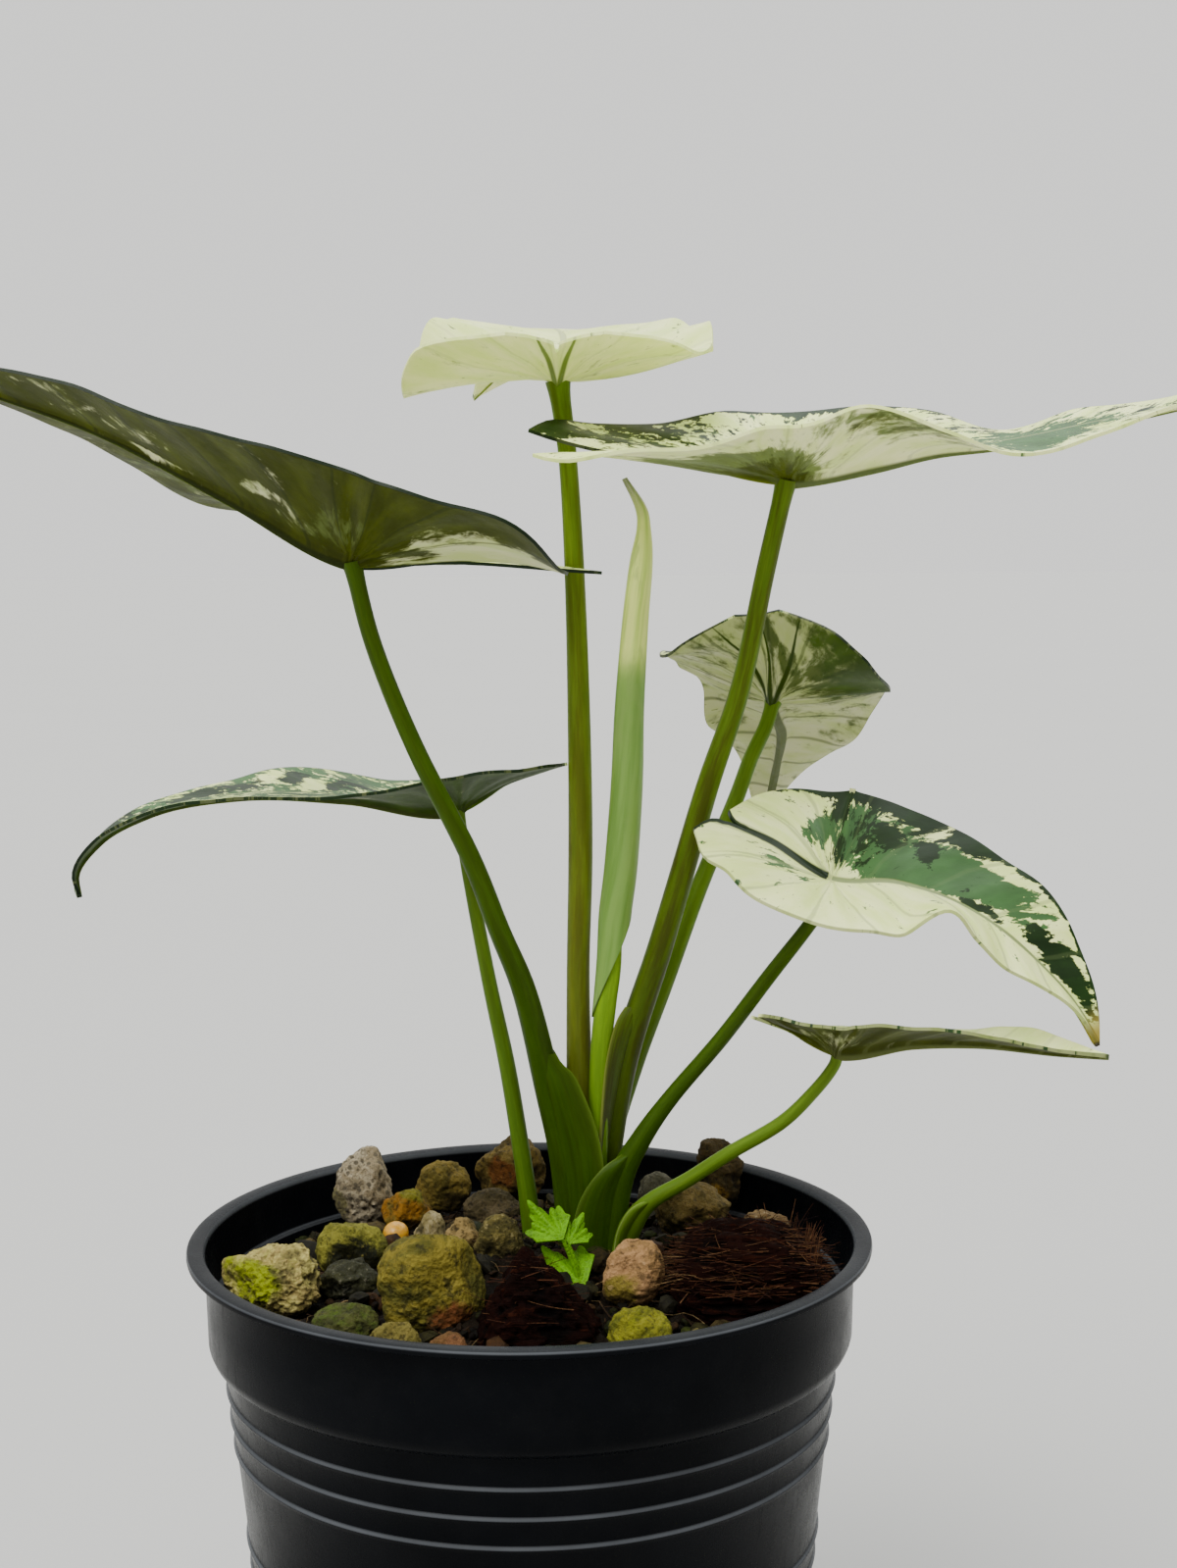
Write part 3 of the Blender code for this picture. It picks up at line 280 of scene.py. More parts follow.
        top_patches=((0.52, 0.5, 0.04, 0.25, "d", 1.0), (0.44, 0.4, 0.05, 0.3, "d", 0.8),
            (0.6, 0.4, 0.05, 0.3, "d", 0.7), (0.69, 0.3, 0.06, 0.5, "d", 0.8),
            (0.36, 0.35, 0.04, 0.2, "d", 0.5), (0.48, 0.35, 0.02, 0.25, "c", 1.0),
            (0.56, 0.6, 0.02, 0.3, "c", 0.6), (0.95, 0, 0.15, 1.5, "d", 1.3),
            (0.5, -0.5, 0.2, 0.4, "d", 0.25)),
        under_patches=((0.36, -0.6, 0.07, 0.4, "c", 0.15),),
        rib_top=(0.12, 0.18, 0.07), rib_under=(0.04, 0.055, 0.008), margin=0.9, pale=0.7,
        depth_under=(0.75, 1.15, 2.5)),
}

STEMS = {
    "upper_left": Stem(
        path=((7, 7, 87), (6.8, 6.8, 92), (5.5, 6, 105.5), (3, 4.5, 117.5), (-0.5, 1.5, 133.5),
              (-4.5, -1, 144.5), (-9, -3.5, 157), (-17, -6, 174), (-23, -8, 190),
              (-26, -10, 203.2)),
        radii=(2.6, 2.6, 2.5, 2.3, 2.0, 1.75, 1.6, 1.45, 1.35, 1.35),
        low_tone=(0.02, 0.05, 0.002), high_tone=(0.043, 0.09, 0.001), mottle=0.35),
    "top": Stem(
        path=((9, 9, 87), (8.8, 9, 92), (8, 9.5, 104.5), (8, 9.5, 119.5), (8, 9.5, 136),
              (8.5, 9.5, 154), (8.5, 9.5, 173), (8, 9.5, 198.5), (7, 9, 219), (5.5, 8, 231.7)),
        radii=(2.3, 2.3, 2.3, 2.1, 1.9, 2.0, 1.9, 1.65, 1.5, 1.7),
        low_tone=(0.135, 0.132, 0.018), high_tone=(0.098, 0.18, 0.004), mottle=0.5),
    "upper_right": Stem(
        path=((11, 9, 87), (11.1, 9, 92), (12.5, 8.5, 104.5), (15.5, 7.5, 121.5), (21, 6, 139),
              (24.5, 5, 151), (29, 2.5, 167), (34, -1.5, 183), (37.5, -6, 201),
              (40.5, -9, 215.2)),
        radii=(2.4, 2.4, 2.3, 2.3, 2.1, 2.0, 1.85, 1.6, 1.5, 1.45),
        low_tone=(0.038, 0.056, 0.005), high_tone=(0.085, 0.155, 0.004), mottle=0.75),
    "back": Stem(
        path=((10, 12, 87), (10.3, 12, 92), (12.5, 13, 105), (17, 15, 119), (22.5, 18, 132.5),
              (28.5, 22, 147.5), (35, 28, 161.5), (38, 32, 168.5), (41, 36, 174),
              (42.5, 38, 178.2)),
        radii=(2.0, 2.0, 2.0, 1.9, 1.7, 1.5, 1.4, 1.35, 1.3, 1.3),
        low_tone=(0.06, 0.12, 0.005), high_tone=(0.095, 0.18, 0.008), mottle=0.2),
    "lower_right": Stem(
        path=((13, 4, 87), (13, 4, 91.5), (14.5, 3, 102), (18, 1.5, 109.5), (23, 0, 117),
              (31, -2, 127), (38.5, -4, 137.5), (44, -5.5, 145), (47, -6, 149.5),
              (48, -6, 152.7)),
        radii=(2.4, 2.4, 2.2, 1.7, 1.35, 1.25, 1.2, 1.1, 1.05, 1.0),
        low_tone=(0.025, 0.062, 0.003), high_tone=(0.042, 0.082, 0.003), mottle=0.25),
    "small": Stem(
        path=((14.5, 3, 87), (15, 2.5, 91), (16.5, 1.5, 95.5), (19.5, 0.5, 99.5),
              (25.5, -1, 103.5), (32, -3.5, 108.5), (40, -6, 114), (45, -8, 119.5),
              (48, -9.5, 124), (48.5, -10, 126.7)),
        radii=(2.0, 2.0, 1.9, 1.4, 1.2, 1.15, 1.1, 1.0, 0.95, 0.9),
        low_tone=(0.065, 0.13, 0.01), high_tone=(0.11, 0.2, 0.012), mottle=0.2),
    "furled": Stem(
        path=((10.5, 5.2, 87), (10.5, 5, 92), (11, 4.6, 107), (11.5, 4.5, 122),
              (12.5, 4.8, 131.5), (13.4, 5.2, 138.5), (14.2, 5.4, 150)),
        radii=(1.6, 1.6, 1.6, 1.7, 1.75, 1.7, 1.0),
        low_tone=(0.02, 0.06, 0.002), high_tone=(0.2, 0.38, 0.006), mottle=0.1),
    "left": Stem(
        path=((0, 12.5, 76), (0, 12.5, 88), (-0.5, 12.5, 94.5), (-1.5, 13, 102.5),
              (-4, 14.5, 118.5), (-7, 16, 133), (-10.5, 17.5, 152), (-12, 18, 162.2)),
        radii=(1.6, 1.6, 1.6, 1.5, 1.4, 1.25, 1.1, 1.0),
        low_tone=(0.045, 0.105, 0.005), high_tone=(0.085, 0.16, 0.01), mottle=0.25),
}

FURLED_PATH = ((12.1, 4.7, 127), (12.8, 5.0, 133), (13.5, 5.3, 139), (14, 5.5, 146),
               (15, 5.5, 154), (16, 5.5, 167), (16.5, 5.5, 179.5), (17.5, 5.5, 193),
               (18.5, 5.5, 202.5), (19, 5.5, 208), (18.5, 5.5, 211.5), (16, 5.5, 216))
FURLED_RADII = (1.9, 2.0, 2.2, 2.35, 2.4, 2.3, 2.1, 1.85, 1.6, 0.85, 0.62, 0.12)

STONES = {
    "stone_mossy_coral": Stone(
        (-39.0, -14, 91.5), (8.0, 6.5, 5.7), 10,
        ((0.46, 0.4, 0.12), (0.3, 0.23, 0.075), (0.2, 0.25, 0.003)),
        relief=0.9, pits=0.6, moss=0.3, grain=0.8, detail=6,
        lumps=(((-0.9, -0.1, 0.45), 0.3, 2.4), ((-0.45, -0.1, 0.9), 0.3, -2.6),
               ((0.35, 0, 0.9), 0.45, 1.0), ((0.8, -0.5, 0.1), 0.3, -0.8)),
        stain=((-0.6, -0.7, 0.3), 0.75, (0.21, 0.25, 0.003))),
    "stone_speckled_pumice": Stone(
        (-30.3, 31.5, 93), (5.6, 4.8, 7.6), 0,
        ((0.3, 0.24, 0.14), (0.46, 0.39, 0.26), (0.05, 0.035, 0.018)), pits=1.5, grain=1.6,
        specks=0.8,
        lumps=(((0.6, -0.3, 0.7), 0.4, 0.6),), stain=((-0.9, -0.3, -0.4), 0.6, (0.17, 0.15, 0.06))),
    "stone_olive": Stone(
        (-29, 0.5, 91.5), (6.3, 4.2, 5.4), -15,
        ((0.2, 0.19, 0.022), (0.1, 0.1, 0.01), (0.3, 0.25, 0.05)), moss=0.2,
        lumps=(((-0.2, -0.5, 0.85), 0.6, 0.9), ((0.2, -0.9, 0), 0.5, -0.9)),
        stain=((0.25, -0.85, -0.35), 1.1, (0.006, 0.007, 0.002))),
    "stone_dark_grit": Stone(
        (-28, -9.5, 90), (5.3, 4.0, 3.6), 0,
        ((0.022, 0.023, 0.008), (0.043, 0.043, 0.013), (0.186, 0.174, 0.118)), relief=0.8,
        specks=0.6, gloss=0.5),
    "stone_boulder": Stone(
        (-14.8, -21.7, 92.6), (8.7, 7.2, 8.9), 0,
        ((0.165, 0.13, 0.013), (0.062, 0.058, 0.007), (0.27, 0.23, 0.03)), relief=0.1, grain=0.5,
        detail=6, lumps=(((0.5, -0.6, 0.6), 0.5, -0.5), ((-0.3, -0.4, 0.8), 0.5, 0.5)),
        stain=((0.55, -0.6, -0.55), 0.55, (0.13, 0.042, 0.01))),
    "stone_amber": Stone(
        (-22, 24, 91), (4.8, 4.2, 4.2), 20,
        ((0.23, 0.1, 0.004), (0.13, 0.085, 0.01), (0.3, 0.165, 0.015)),
        stain=((0.2, -0.2, 0.9), 0.7, (0.13, 0.12, 0.006))),
    "stone_olive_brown": Stone(
        (-16.6, 34.5, 92), (5.3, 4.5, 5.4), 25,
        ((0.17, 0.12, 0.02), (0.085, 0.065, 0.01), (0.23, 0.165, 0.035)), relief=0.4,
        stain=((0.3, -0.8, -0.5), 0.7, (0.05, 0.035, 0.006))),
    "stone_red_porous": Stone(
        (-4.7, 43, 93), (6.8, 5.6, 6.9), 0,
        ((0.13, 0.088, 0.016), (0.058, 0.04, 0.008), (0.27, 0.19, 0.055)), pits=0.5, relief=0.5,
        stain=((-0.3, -0.8, 0.1), 0.6, (0.12, 0.042, 0.006))),
    "stone_grey_brown": Stone(
        (-7.4, 26.8, 90.5), (5.4, 4.3, 3.7), 0,
        ((0.066, 0.048, 0.02), (0.035, 0.027, 0.009), (0.11, 0.085, 0.035))),
    "stone_pale_tan": Stone(
        (-17, 10.8, 91.5), (3.0, 2.7, 3.3), 0,
        ((0.34, 0.28, 0.15), (0.2, 0.16, 0.06), (0.42, 0.37, 0.22)), detail=4, relief=1.0,
        stain=((-0.3, -0.6, -0.7), 0.6, (0.12, 0.12, 0.02))),
    "stone_tan": Stone(
        (-11.5, 6.0, 92), (3.3, 2.8, 3.6), 0,
        ((0.28, 0.19, 0.065), (0.14, 0.1, 0.03), (0.33, 0.27, 0.12)), detail=4, relief=1.0,
        stain=((0.5, -0.4, -0.7), 0.6, (0.1, 0.07, 0.02))),
    "stone_mottled": Stone(
        (-4.9, -1, 93), (4.3, 3.7, 5.0), 0,
        ((0.14, 0.11, 0.026), (0.05, 0.042, 0.009), (0.33, 0.27, 0.11)), specks=0.7,
        lumps=(((-0.5, -0.4, 0.8), 0.5, 0.7),), stain=((0.3, -0.8, -0.5), 0.7, (0.04, 0.03, 0.006))),
    "stone_green_moss": Stone(
        (-27, -30, 90), (5.4, 4.0, 3.4), 0,
        ((0.056, 0.058, 0.013), (0.031, 0.035, 0.008), (0.074, 0.116, 0.008)), moss=0.9, relief=0.5),
    "stone_yellow_olive": Stone(
        (-19, -37.5, 90), (4.2, 3.4, 3.6), 0,
        ((0.174, 0.139, 0.029), (0.124, 0.104, 0.021), (0.223, 0.186, 0.05)), moss=0.3),
    "stone_red_chip": Stone(
        (-11, -40.5, 89.8), (3.2, 2.6, 3.2), 0,
        ((0.136, 0.058, 0.021), (0.093, 0.046, 0.013), (0.174, 0.093, 0.034)), detail=4),
    "stone_pink": Stone(
        (16.3, -16.7, 93), (5.0, 4.3, 5.7), 20,
        ((0.36, 0.2, 0.085), (0.22, 0.125, 0.045), (0.46, 0.31, 0.16)), grain=0.6,
        lumps=(((0.6, -0.3, 0.75), 0.5, 0.8), ((-0.6, -0.5, 0.35), 0.4, -1.0),
               ((-0.7, -0.4, -0.4), 0.5, 0.6)),
        stain=((-0.65, -0.5, -0.45), 0.75, (0.15, 0.115, 0.014))),
    "stone_yellow_moss": Stone(
        (16.8, -36.5, 91), (5.0, 4.0, 4.2), 0,
        ((0.17, 0.165, 0.01), (0.085, 0.09, 0.005), (0.24, 0.27, 0.006)), moss=0.4, relief=0.5,
        stain=((-0.2, -0.7, -0.6), 0.5, (0.2, 0.13, 0.03))),
    "stone_front_chip": Stone(
        (25, -38, 89.4), (2.8, 2.4, 3.0), 0,
        ((0.223, 0.18, 0.055), (0.155, 0.128, 0.034), (0.26, 0.22, 0.084)), detail=4),
    "stone_brown_slab": Stone(
        (26.9, 19.4, 92.3), (7.0, 6.0, 5.3), 0,
        ((0.125, 0.085, 0.02), (0.065, 0.048, 0.01), (0.2, 0.15, 0.05)), relief=0.4),
    "stone_bark_chip": Stone(
        (38.9, 11, 90.8), (4.7, 4.0, 4.0), -10,
        ((0.174, 0.11, 0.042), (0.112, 0.064, 0.021), (0.341, 0.29, 0.168)), relief=0.5, specks=0.6),
    "stone_dark_cluster": Stone(
        (32.4, 33.8, 94.3), (4.2, 3.4, 8.0), 0,
        ((0.055, 0.036, 0.01), (0.024, 0.019, 0.005), (0.14, 0.07, 0.012)), relief=0.7,
        lumps=(((-0.4, -0.3, 0.9), 0.35, 1.3), ((0.2, -0.3, 0.6), 0.3, -1.6),
               ((0.9, 0, 0.4), 0.35, 1.2), ((0.1, -0.9, -0.4), 0.4, 0.8)),
        stain=((-0.1, -0.7, -0.65), 0.55, (0.2, 0.11, 0.012))),
    "stone_grey": Stone(
        (21.5, 35, 90.5), (3.8, 3.2, 4.2), 0,
        ((0.099, 0.093, 0.059), (0.062, 0.058, 0.034), (0.149, 0.139, 0.088)), detail=4),
}
# How many flats are struck off a stone, and between which shares of its radius
STONE_FLATS = ((7, 0.84, 0.98), (8, 0.74, 0.92))

# Husk blocks: centre, half sizes, turn, how peaked, and how long its ridges run
HUSKS = {
    "husk_front": ((1.8, -28, 91), (9.0, 7.6, 7.2), 0, 0.82, 0.3),
    "husk_right": ((34.2, -14, 91.6), (12.2, 10.4, 7.6), -4, 0.18, 0.12),
}
# Their fibres: how many lie along the block, how many stand at its end, and their seed
HUSK_FIBRES = {"husk_front": (36, 0, 5), "husk_right": (540, 56, 6)}
HUSK_ROUNDNESS = 3.2
BEAD_CENTRE, BEAD_RADIUS = (-23, 12.6, 90.7), 2.2
SEEDLING_FOOT = (8.6, -14.2, 86)
# Leaflets: where each leaves the stalk, its heading in degrees up from +X, length, and width
SEEDLING_LEAVES = (
    ((5.5, -13.6, 97.6), 122, 8.8, 0.5),
    ((6.3, -13.3, 96.8), 68, 6.0, 0.56),
    ((8.9, -15.0, 90.4), 127, 9.8, 0.62),
)

CRUMB_TONES = ((0.008, 0.004, 0.0015), (0.004, 0.003, 0.001), (0.016, 0.008, 0.003),
               (0.035, 0.018, 0.006), (0.012, 0.013, 0.002))
GRIT_TONES = ((0.04, 0.028, 0.008), (0.02, 0.018, 0.004), (0.075, 0.055, 0.018),
              (0.035, 0.015, 0.004), (0.012, 0.011, 0.006), (0.02, 0.026, 0.002))

# Sheath wings: whose petiole, which way it bulges, how far, and the free edge from the top down
WINGS = (
    ("upper_left", -1, 0.35,
     ((4.0, 2.6, 123.5), (5.4, 2.6, 121.6), (7.2, 2.5, 119.9), (8.9, 2.2, 116.5), (10.3, 2.0, 113),
      (11.3, 1.8, 109.5), (12.0, 1.7, 105), (12.2, 1.8, 100), (12.0, 2.0, 94), (11.5, 2.2, 84))),
    ("upper_left", 1, 1.2,
     ((3.8, 6.2, 123), (6.5, 11.6, 117), (9, 13.4, 112), (11, 14.6, 105), (12, 14.8, 97),
      (12, 14.0, 84))),
    ("upper_right", -1, 0.3,
     ((15.6, 5.4, 130.6), (14.3, 4.2, 128.8), (13.4, 3.3, 126.2), (12.7, 2.8, 122.8),
      (12.2, 2.6, 118.7), (11.6, 2.6, 110), (11.2, 2.8, 100))),
    ("lower_right", -1, 0.6,
     ((15.4, 1.5, 107.4), (14.0, 0.7, 106.7), (12.2, 0.1, 105.6), (10.4, -0.3, 103.8),
      (8.8, -0.4, 101.5), (7.6, -0.4, 98.8), (7.0, -0.3, 96), (6.8, 0, 93), (6.9, 0.5, 84))),
    ("lower_right", 1, 0.8,
     ((15.6, 4.0, 107.2), (15.6, 8.6, 104), (15, 11.5, 100), (14.2, 13.6, 96), (13, 14.6, 90),
      (12.8, 14, 84))),
    ("small", -1, 0.35,
     ((18.6, -0.4, 99.8), (17.4, -0.9, 99.5), (15.9, -1.2, 98.5), (14.6, -1.3, 96.4),
      (13.8, -1.2, 93.9), (13.5, -1.0, 90.1), (13.5, -0.5, 84))),
    ("small", 1, 0.5,
     ((18.8, 1.4, 99.8), (18, 5, 97.5), (17, 7.5, 94), (16.2, 8.5, 89), (16, 8.4, 84))),
)


def deselect_all():
    if bpy.context.mode != "OBJECT":
        bpy.ops.object.mode_set(mode="OBJECT")
    bpy.ops.object.select_all(action="DESELECT")


def select_only(target):
    deselect_all()
    target.select_set(True)
    bpy.context.view_layer.objects.active = target


def edit(target, steps):
    """Runs steps in edit mode with everything selected."""
    select_only(target)
    bpy.ops.object.mode_set(mode="EDIT")
    bpy.ops.mesh.select_all(action="SELECT")
    steps()
    bpy.ops.object.mode_set(mode="OBJECT")


def apply_modifiers(target):
    select_only(target)
    for modifier in list(target.modifiers):
        bpy.ops.object.modifier_apply(modifier=modifier.name)


def join(pieces, name):
    deselect_all()
    for piece in pieces:
        piece.select_set(True)
    bpy.context.view_layer.objects.active = pieces[0]
    if len(pieces) > 1:
        bpy.ops.object.join()
    pieces[0].name = name
    pieces[0].data.name = name
    return pieces[0]


def smooth(target, angle):
    select_only(target)
    bpy.ops.object.shade_smooth_by_angle(angle=math.radians(angle))


def face_outwards(target):
    edit(target, lambda: bpy.ops.mesh.normals_make_consistent(inside=False))


def thicken(target, thickness, offset=-1):
    """Gives a sheet its wall in millimetres."""
    shell = target.modifiers.new("wall", "SOLIDIFY")
    shell.thickness = thickness * MM
    shell.offset = offset
    apply_modifiers(target)


def clear_generated(mesh):
    """Removes the maps a primitive comes with, so that only the piece's own maps stay."""
    for layer in list(mesh.uv_layers):
        mesh.uv_layers.remove(layer)


def points_of(mesh):
    points = np.empty(len(mesh.vertices) * 3)
    mesh.vertices.foreach_get("co", points)
    return points.reshape(-1, 3)


def set_points(mesh, points):
    mesh.vertices.foreach_set("co", np.asarray(points, float).ravel())
    mesh.update()


def write_uv(mesh, name, u, v):
    """A UV map from two lengths in millimetres per vertex."""
    values = np.stack([u, v], 1) / UV_UNIT
    corners = np.empty(len(mesh.loops), int)
    mesh.loops.foreach_get("vertex_index", corners)
    layer = mesh.uv_layers.new(name=name)
    layer.data.foreach_set("uv", values[corners].ravel())


def write_colour(mesh, name, values):
    """A colour attribute from one row of three values per vertex."""
    values = np.asarray(values, float)
    layer = mesh.color_attributes.new(name=name, type="FLOAT_COLOR", domain="POINT")
    four = np.concatenate([values, np.ones((len(values), 1))], axis=1)
    layer.data.foreach_set("color", four.ravel())


def new_primitive(name, add, **settings):
    """A primitive, added by itself and without the maps that it comes with."""
    deselect_all()
    add(**settings)
    made = bpy.context.object
    made.name = name
    clear_generated(made.data)
    return made


def lay_grid(name, points):
    """A grid primitive laid over rows by columns of points in millimetres.

    Returns the object with the row and the column of each vertex.
    """
    rows, columns = points.shape[:2]
    made = new_primitive(name, bpy.ops.mesh.primitive_grid_add, x_subdivisions=rows - 1,
                         y_subdivisions=columns - 1, size=2)
    flat = points_of(made.data)
    row = np.rint((flat[:, 0] + 1) / 2 * (rows - 1)).astype(int)
    column = np.rint((flat[:, 1] + 1) / 2 * (columns - 1)).astype(int)
    set_points(made.data, points[row, column] * MM)
    return made, row, column


def smooth_curve(knots, values, places):
    """A smooth curve through values at knots, read at places."""
    knots = np.asarray(knots, float)
    values = np.asarray(values, float)
    if values.ndim == 1:
        return smooth_curve(knots, values[:, None], places)[:, 0]
    slopes = np.gradient(values, knots, axis=0)
    low = np.clip(np.searchsorted(knots, places, side="right") - 1, 0, len(knots) - 2)
    span = (knots[low + 1] - knots[low])[:, None]
    s = (np.asarray(places) - knots[low])[:, None] / span
    return (
        (2 * s**3 - 3 * s**2 + 1) * values[low]
        + (s**3 - 2 * s**2 + s) * span * slopes[low]
        + (3 * s**2 - 2 * s**3) * values[low + 1]
        + (s**3 - s**2) * span * slopes[low + 1]
    )


def drawn(values, count):
    """A smooth curve through values, at count even places from the first to the last."""
    last = len(values) - 1
    return smooth_curve(np.arange(last + 1), values, np.linspace(0, last, count))


def placed(points, turn, centre):
    """Points turned about Z by an angle in degrees and moved to a centre."""
    angle = math.radians(turn)
    spin = np.array(((math.cos(angle), -math.sin(angle), 0),
                     (math.sin(angle), math.cos(angle), 0), (0, 0, 1)))
    return points @ spin.T + np.array(centre)


def new_piece(name, corners, faces):
    """An object of loose corners in millimetres and their faces."""
    mesh = bpy.data.meshes.new(name)
    mesh.from_pydata((corners * MM).tolist(), [], faces)
    made = bpy.data.objects.new(name, mesh)
    bpy.context.scene.collection.objects.link(made)
    return made


def fractal(points, scale, octaves, seed):
    """Layered noise, about -1 to 1, at points in millimetres; scale is its size there."""
    shift = Vector((seed * 7.3, seed * 3.1, seed * 5.7))
    return np.array([noise.fractal(Vector(p) / scale + shift, 0.8, 2.1, octaves) for p in points])


def cells(points, scale, seed):
    """Distance to the nearest of scattered seeds, 0 at a seed and about 1 between them."""
    shift = Vector((seed * 2.7, seed * 9.1, seed * 4.3))
    return np.array([noise.voronoi(Vector(p) / scale + shift)[0][0] for p in points])


def unit(vectors):
    return vectors / np.linalg.norm(vectors, axis=1)[:, None]


def mix_height(x, y):
    """How high the smooth heap of mix stands, in millimetres."""
    heap = MIX_EDGE_HEIGHT + MIX_CROWN_RISE * np.exp(-(x * x + y * y) / MIX_RISE_RADIUS**2)
    heap = heap - MIX_EDGE_DROP * np.clip((np.hypot(x, y) - 41) / 7, 0, 1)
    return heap + 0.5 * np.sin(0.45 * x + 1.0) * np.cos(0.38 * y) + 0.3 * np.sin(0.9 * y + 0.3 * x)


def toned(colour, factors):
    """A colour made lighter or darker by one factor, or by one for each channel."""
    if isinstance(factors, float):
        factors = (factors, factors, factors)
    return tuple(channel * factor for channel, factor in zip(colour, factors))


class Finish:
    """A material, and short ways to add nodes to it."""

    def __init__(self, name, tree=None):
        self.material = None
        if tree is None:
            self.material = bpy.data.materials.new(name)
            self.material.use_nodes = True
            tree = self.material.node_tree
            self.shader = tree.nodes["Principled BSDF"]
        self.tree = tree

    def set(self, socket, value):
        if isinstance(value, bpy.types.NodeSocket):
            self.tree.links.new(value, socket)
        elif isinstance(value, (tuple, list)) and len(value) == 3 and socket.type == "RGBA":
            socket.default_value = (*value, 1.0)
        else:
            socket.default_value = value

    def node(self, kind, values=None, **settings):
        made = self.tree.nodes.new(kind)
        for key, value in settings.items():
            setattr(made, key, value)
        for key, value in (values or {}).items():
            self.set(made.inputs[key], value)
        return made

    def shade(self, **values):
        for key, value in values.items():
            self.set(self.shader.inputs[key.replace("_", " ")], value)
        return self.material

    def uv(self, name):
        return self.node("ShaderNodeUVMap", uv_map=name).outputs["UV"]

    def object_place(self):
        return self.node("ShaderNodeTexCoord").outputs["Object"]

    def colour_of(self, name):
        return self.node("ShaderNodeAttribute", attribute_name=name).outputs["Color"]

    def split(self, colour):
        made = self.node("ShaderNodeSeparateColor", {"Color": colour})
        return made.outputs["Red"], made.outputs["Green"], made.outputs["Blue"]

    def split_vector(self, vector):
        made = self.node("ShaderNodeSeparateXYZ", {"Vector": vector})
        return made.outputs["X"], made.outputs["Y"], made.outputs["Z"]

    def scaled(self, vector, factors):
        made = self.node("ShaderNodeVectorMath", {0: vector, 1: factors}, operation="MULTIPLY")
        return made.outputs["Vector"]

    def moved(self, vector, offsets):
        made = self.node("ShaderNodeVectorMath", {0: vector, 1: offsets}, operation="ADD")
        return made.outputs["Vector"]

    def maths(self, operation, a, b=0.0, c=0.0):
        made = self.node("ShaderNodeMath", {0: a, 1: b, 2: c}, operation=operation)
        return made.outputs["Value"]

    def times(self, a, b):
        return self.maths("MULTIPLY", a, b)

    def plus(self, a, b):
        return self.maths("ADD", a, b)

    def minus(self, a, b):
        return self.maths("SUBTRACT", a, b)

    def times_plus(self, a, b, c):
        return self.maths("MULTIPLY_ADD", a, b, c)

    def upward(self):
        """How far the surface faces up, from -1 to 1."""
        return self.split_vector(self.node("ShaderNodeNewGeometry").outputs["Normal"])[2]

    def noise(self, vector, scale, detail=3.0, roughness=0.55, distortion=0.0):
        made = self.node("ShaderNodeTexNoise", {
            "Vector": vector, "Scale": scale, "Detail": detail, "Roughness": roughness,
            "Distortion": distortion})
        return made.outputs["Fac"]

    def cells(self, vector, scale, feature="F1"):
        made = self.node("ShaderNodeTexVoronoi", {"Vector": vector, "Scale": scale},
                         feature=feature)
        return made.outputs["Distance"]

    def band(self, value, low, high, out_low=0.0, out_high=1.0):
        """Smoothly maps low..high to out_low..out_high."""
        made = self.node("ShaderNodeMapRange", {
            "Value": value, "From Min": low, "From Max": high, "To Min": out_low,
            "To Max": out_high}, interpolation_type="SMOOTHSTEP")
        return made.outputs["Result"]

    def mix(self, share, a, b, blend="MIX"):
        made = self.node("ShaderNodeMix", data_type="RGBA", blend_type=blend)
        self.set(made.inputs["Factor"], share)
        self.set(made.inputs[6], a)
        self.set(made.inputs[7], b)
        return made.outputs[2]

    def overlay(self, share, value, low, high, below, above):
        """One colour over another, up to a share, as a value goes from low to high."""
        return self.mix(self.times(self.band(value, low, high), share), below, above)

    def bump(self, height, distance, strength):
        made = self.node("ShaderNodeBump", {
            "Height": height, "Distance": distance, "Strength": strength})
        return made.outputs["Normal"]

    def group(self, name, values):
        made = self.tree.nodes.new("ShaderNodeGroup")
        made.node_tree = bpy.data.node_groups[name]
        for key, value in values.items():
            self.set(made.inputs[key], value)
        return made.outputs


def new_group(name, inputs, outputs):
    tree = bpy.data.node_groups.new(name, "ShaderNodeTree")
    for label, kind, default in inputs:
        socket = tree.interface.new_socket(label, in_out="INPUT", socket_type=kind)
        if default is not None:
            socket.default_value = default
    for label, kind in outputs:
        tree.interface.new_socket(label, in_out="OUTPUT", socket_type=kind)
    paint = Finish(name, tree)
    return paint, tree.nodes.new("NodeGroupInput").outputs, tree.nodes.new("NodeGroupOutput")


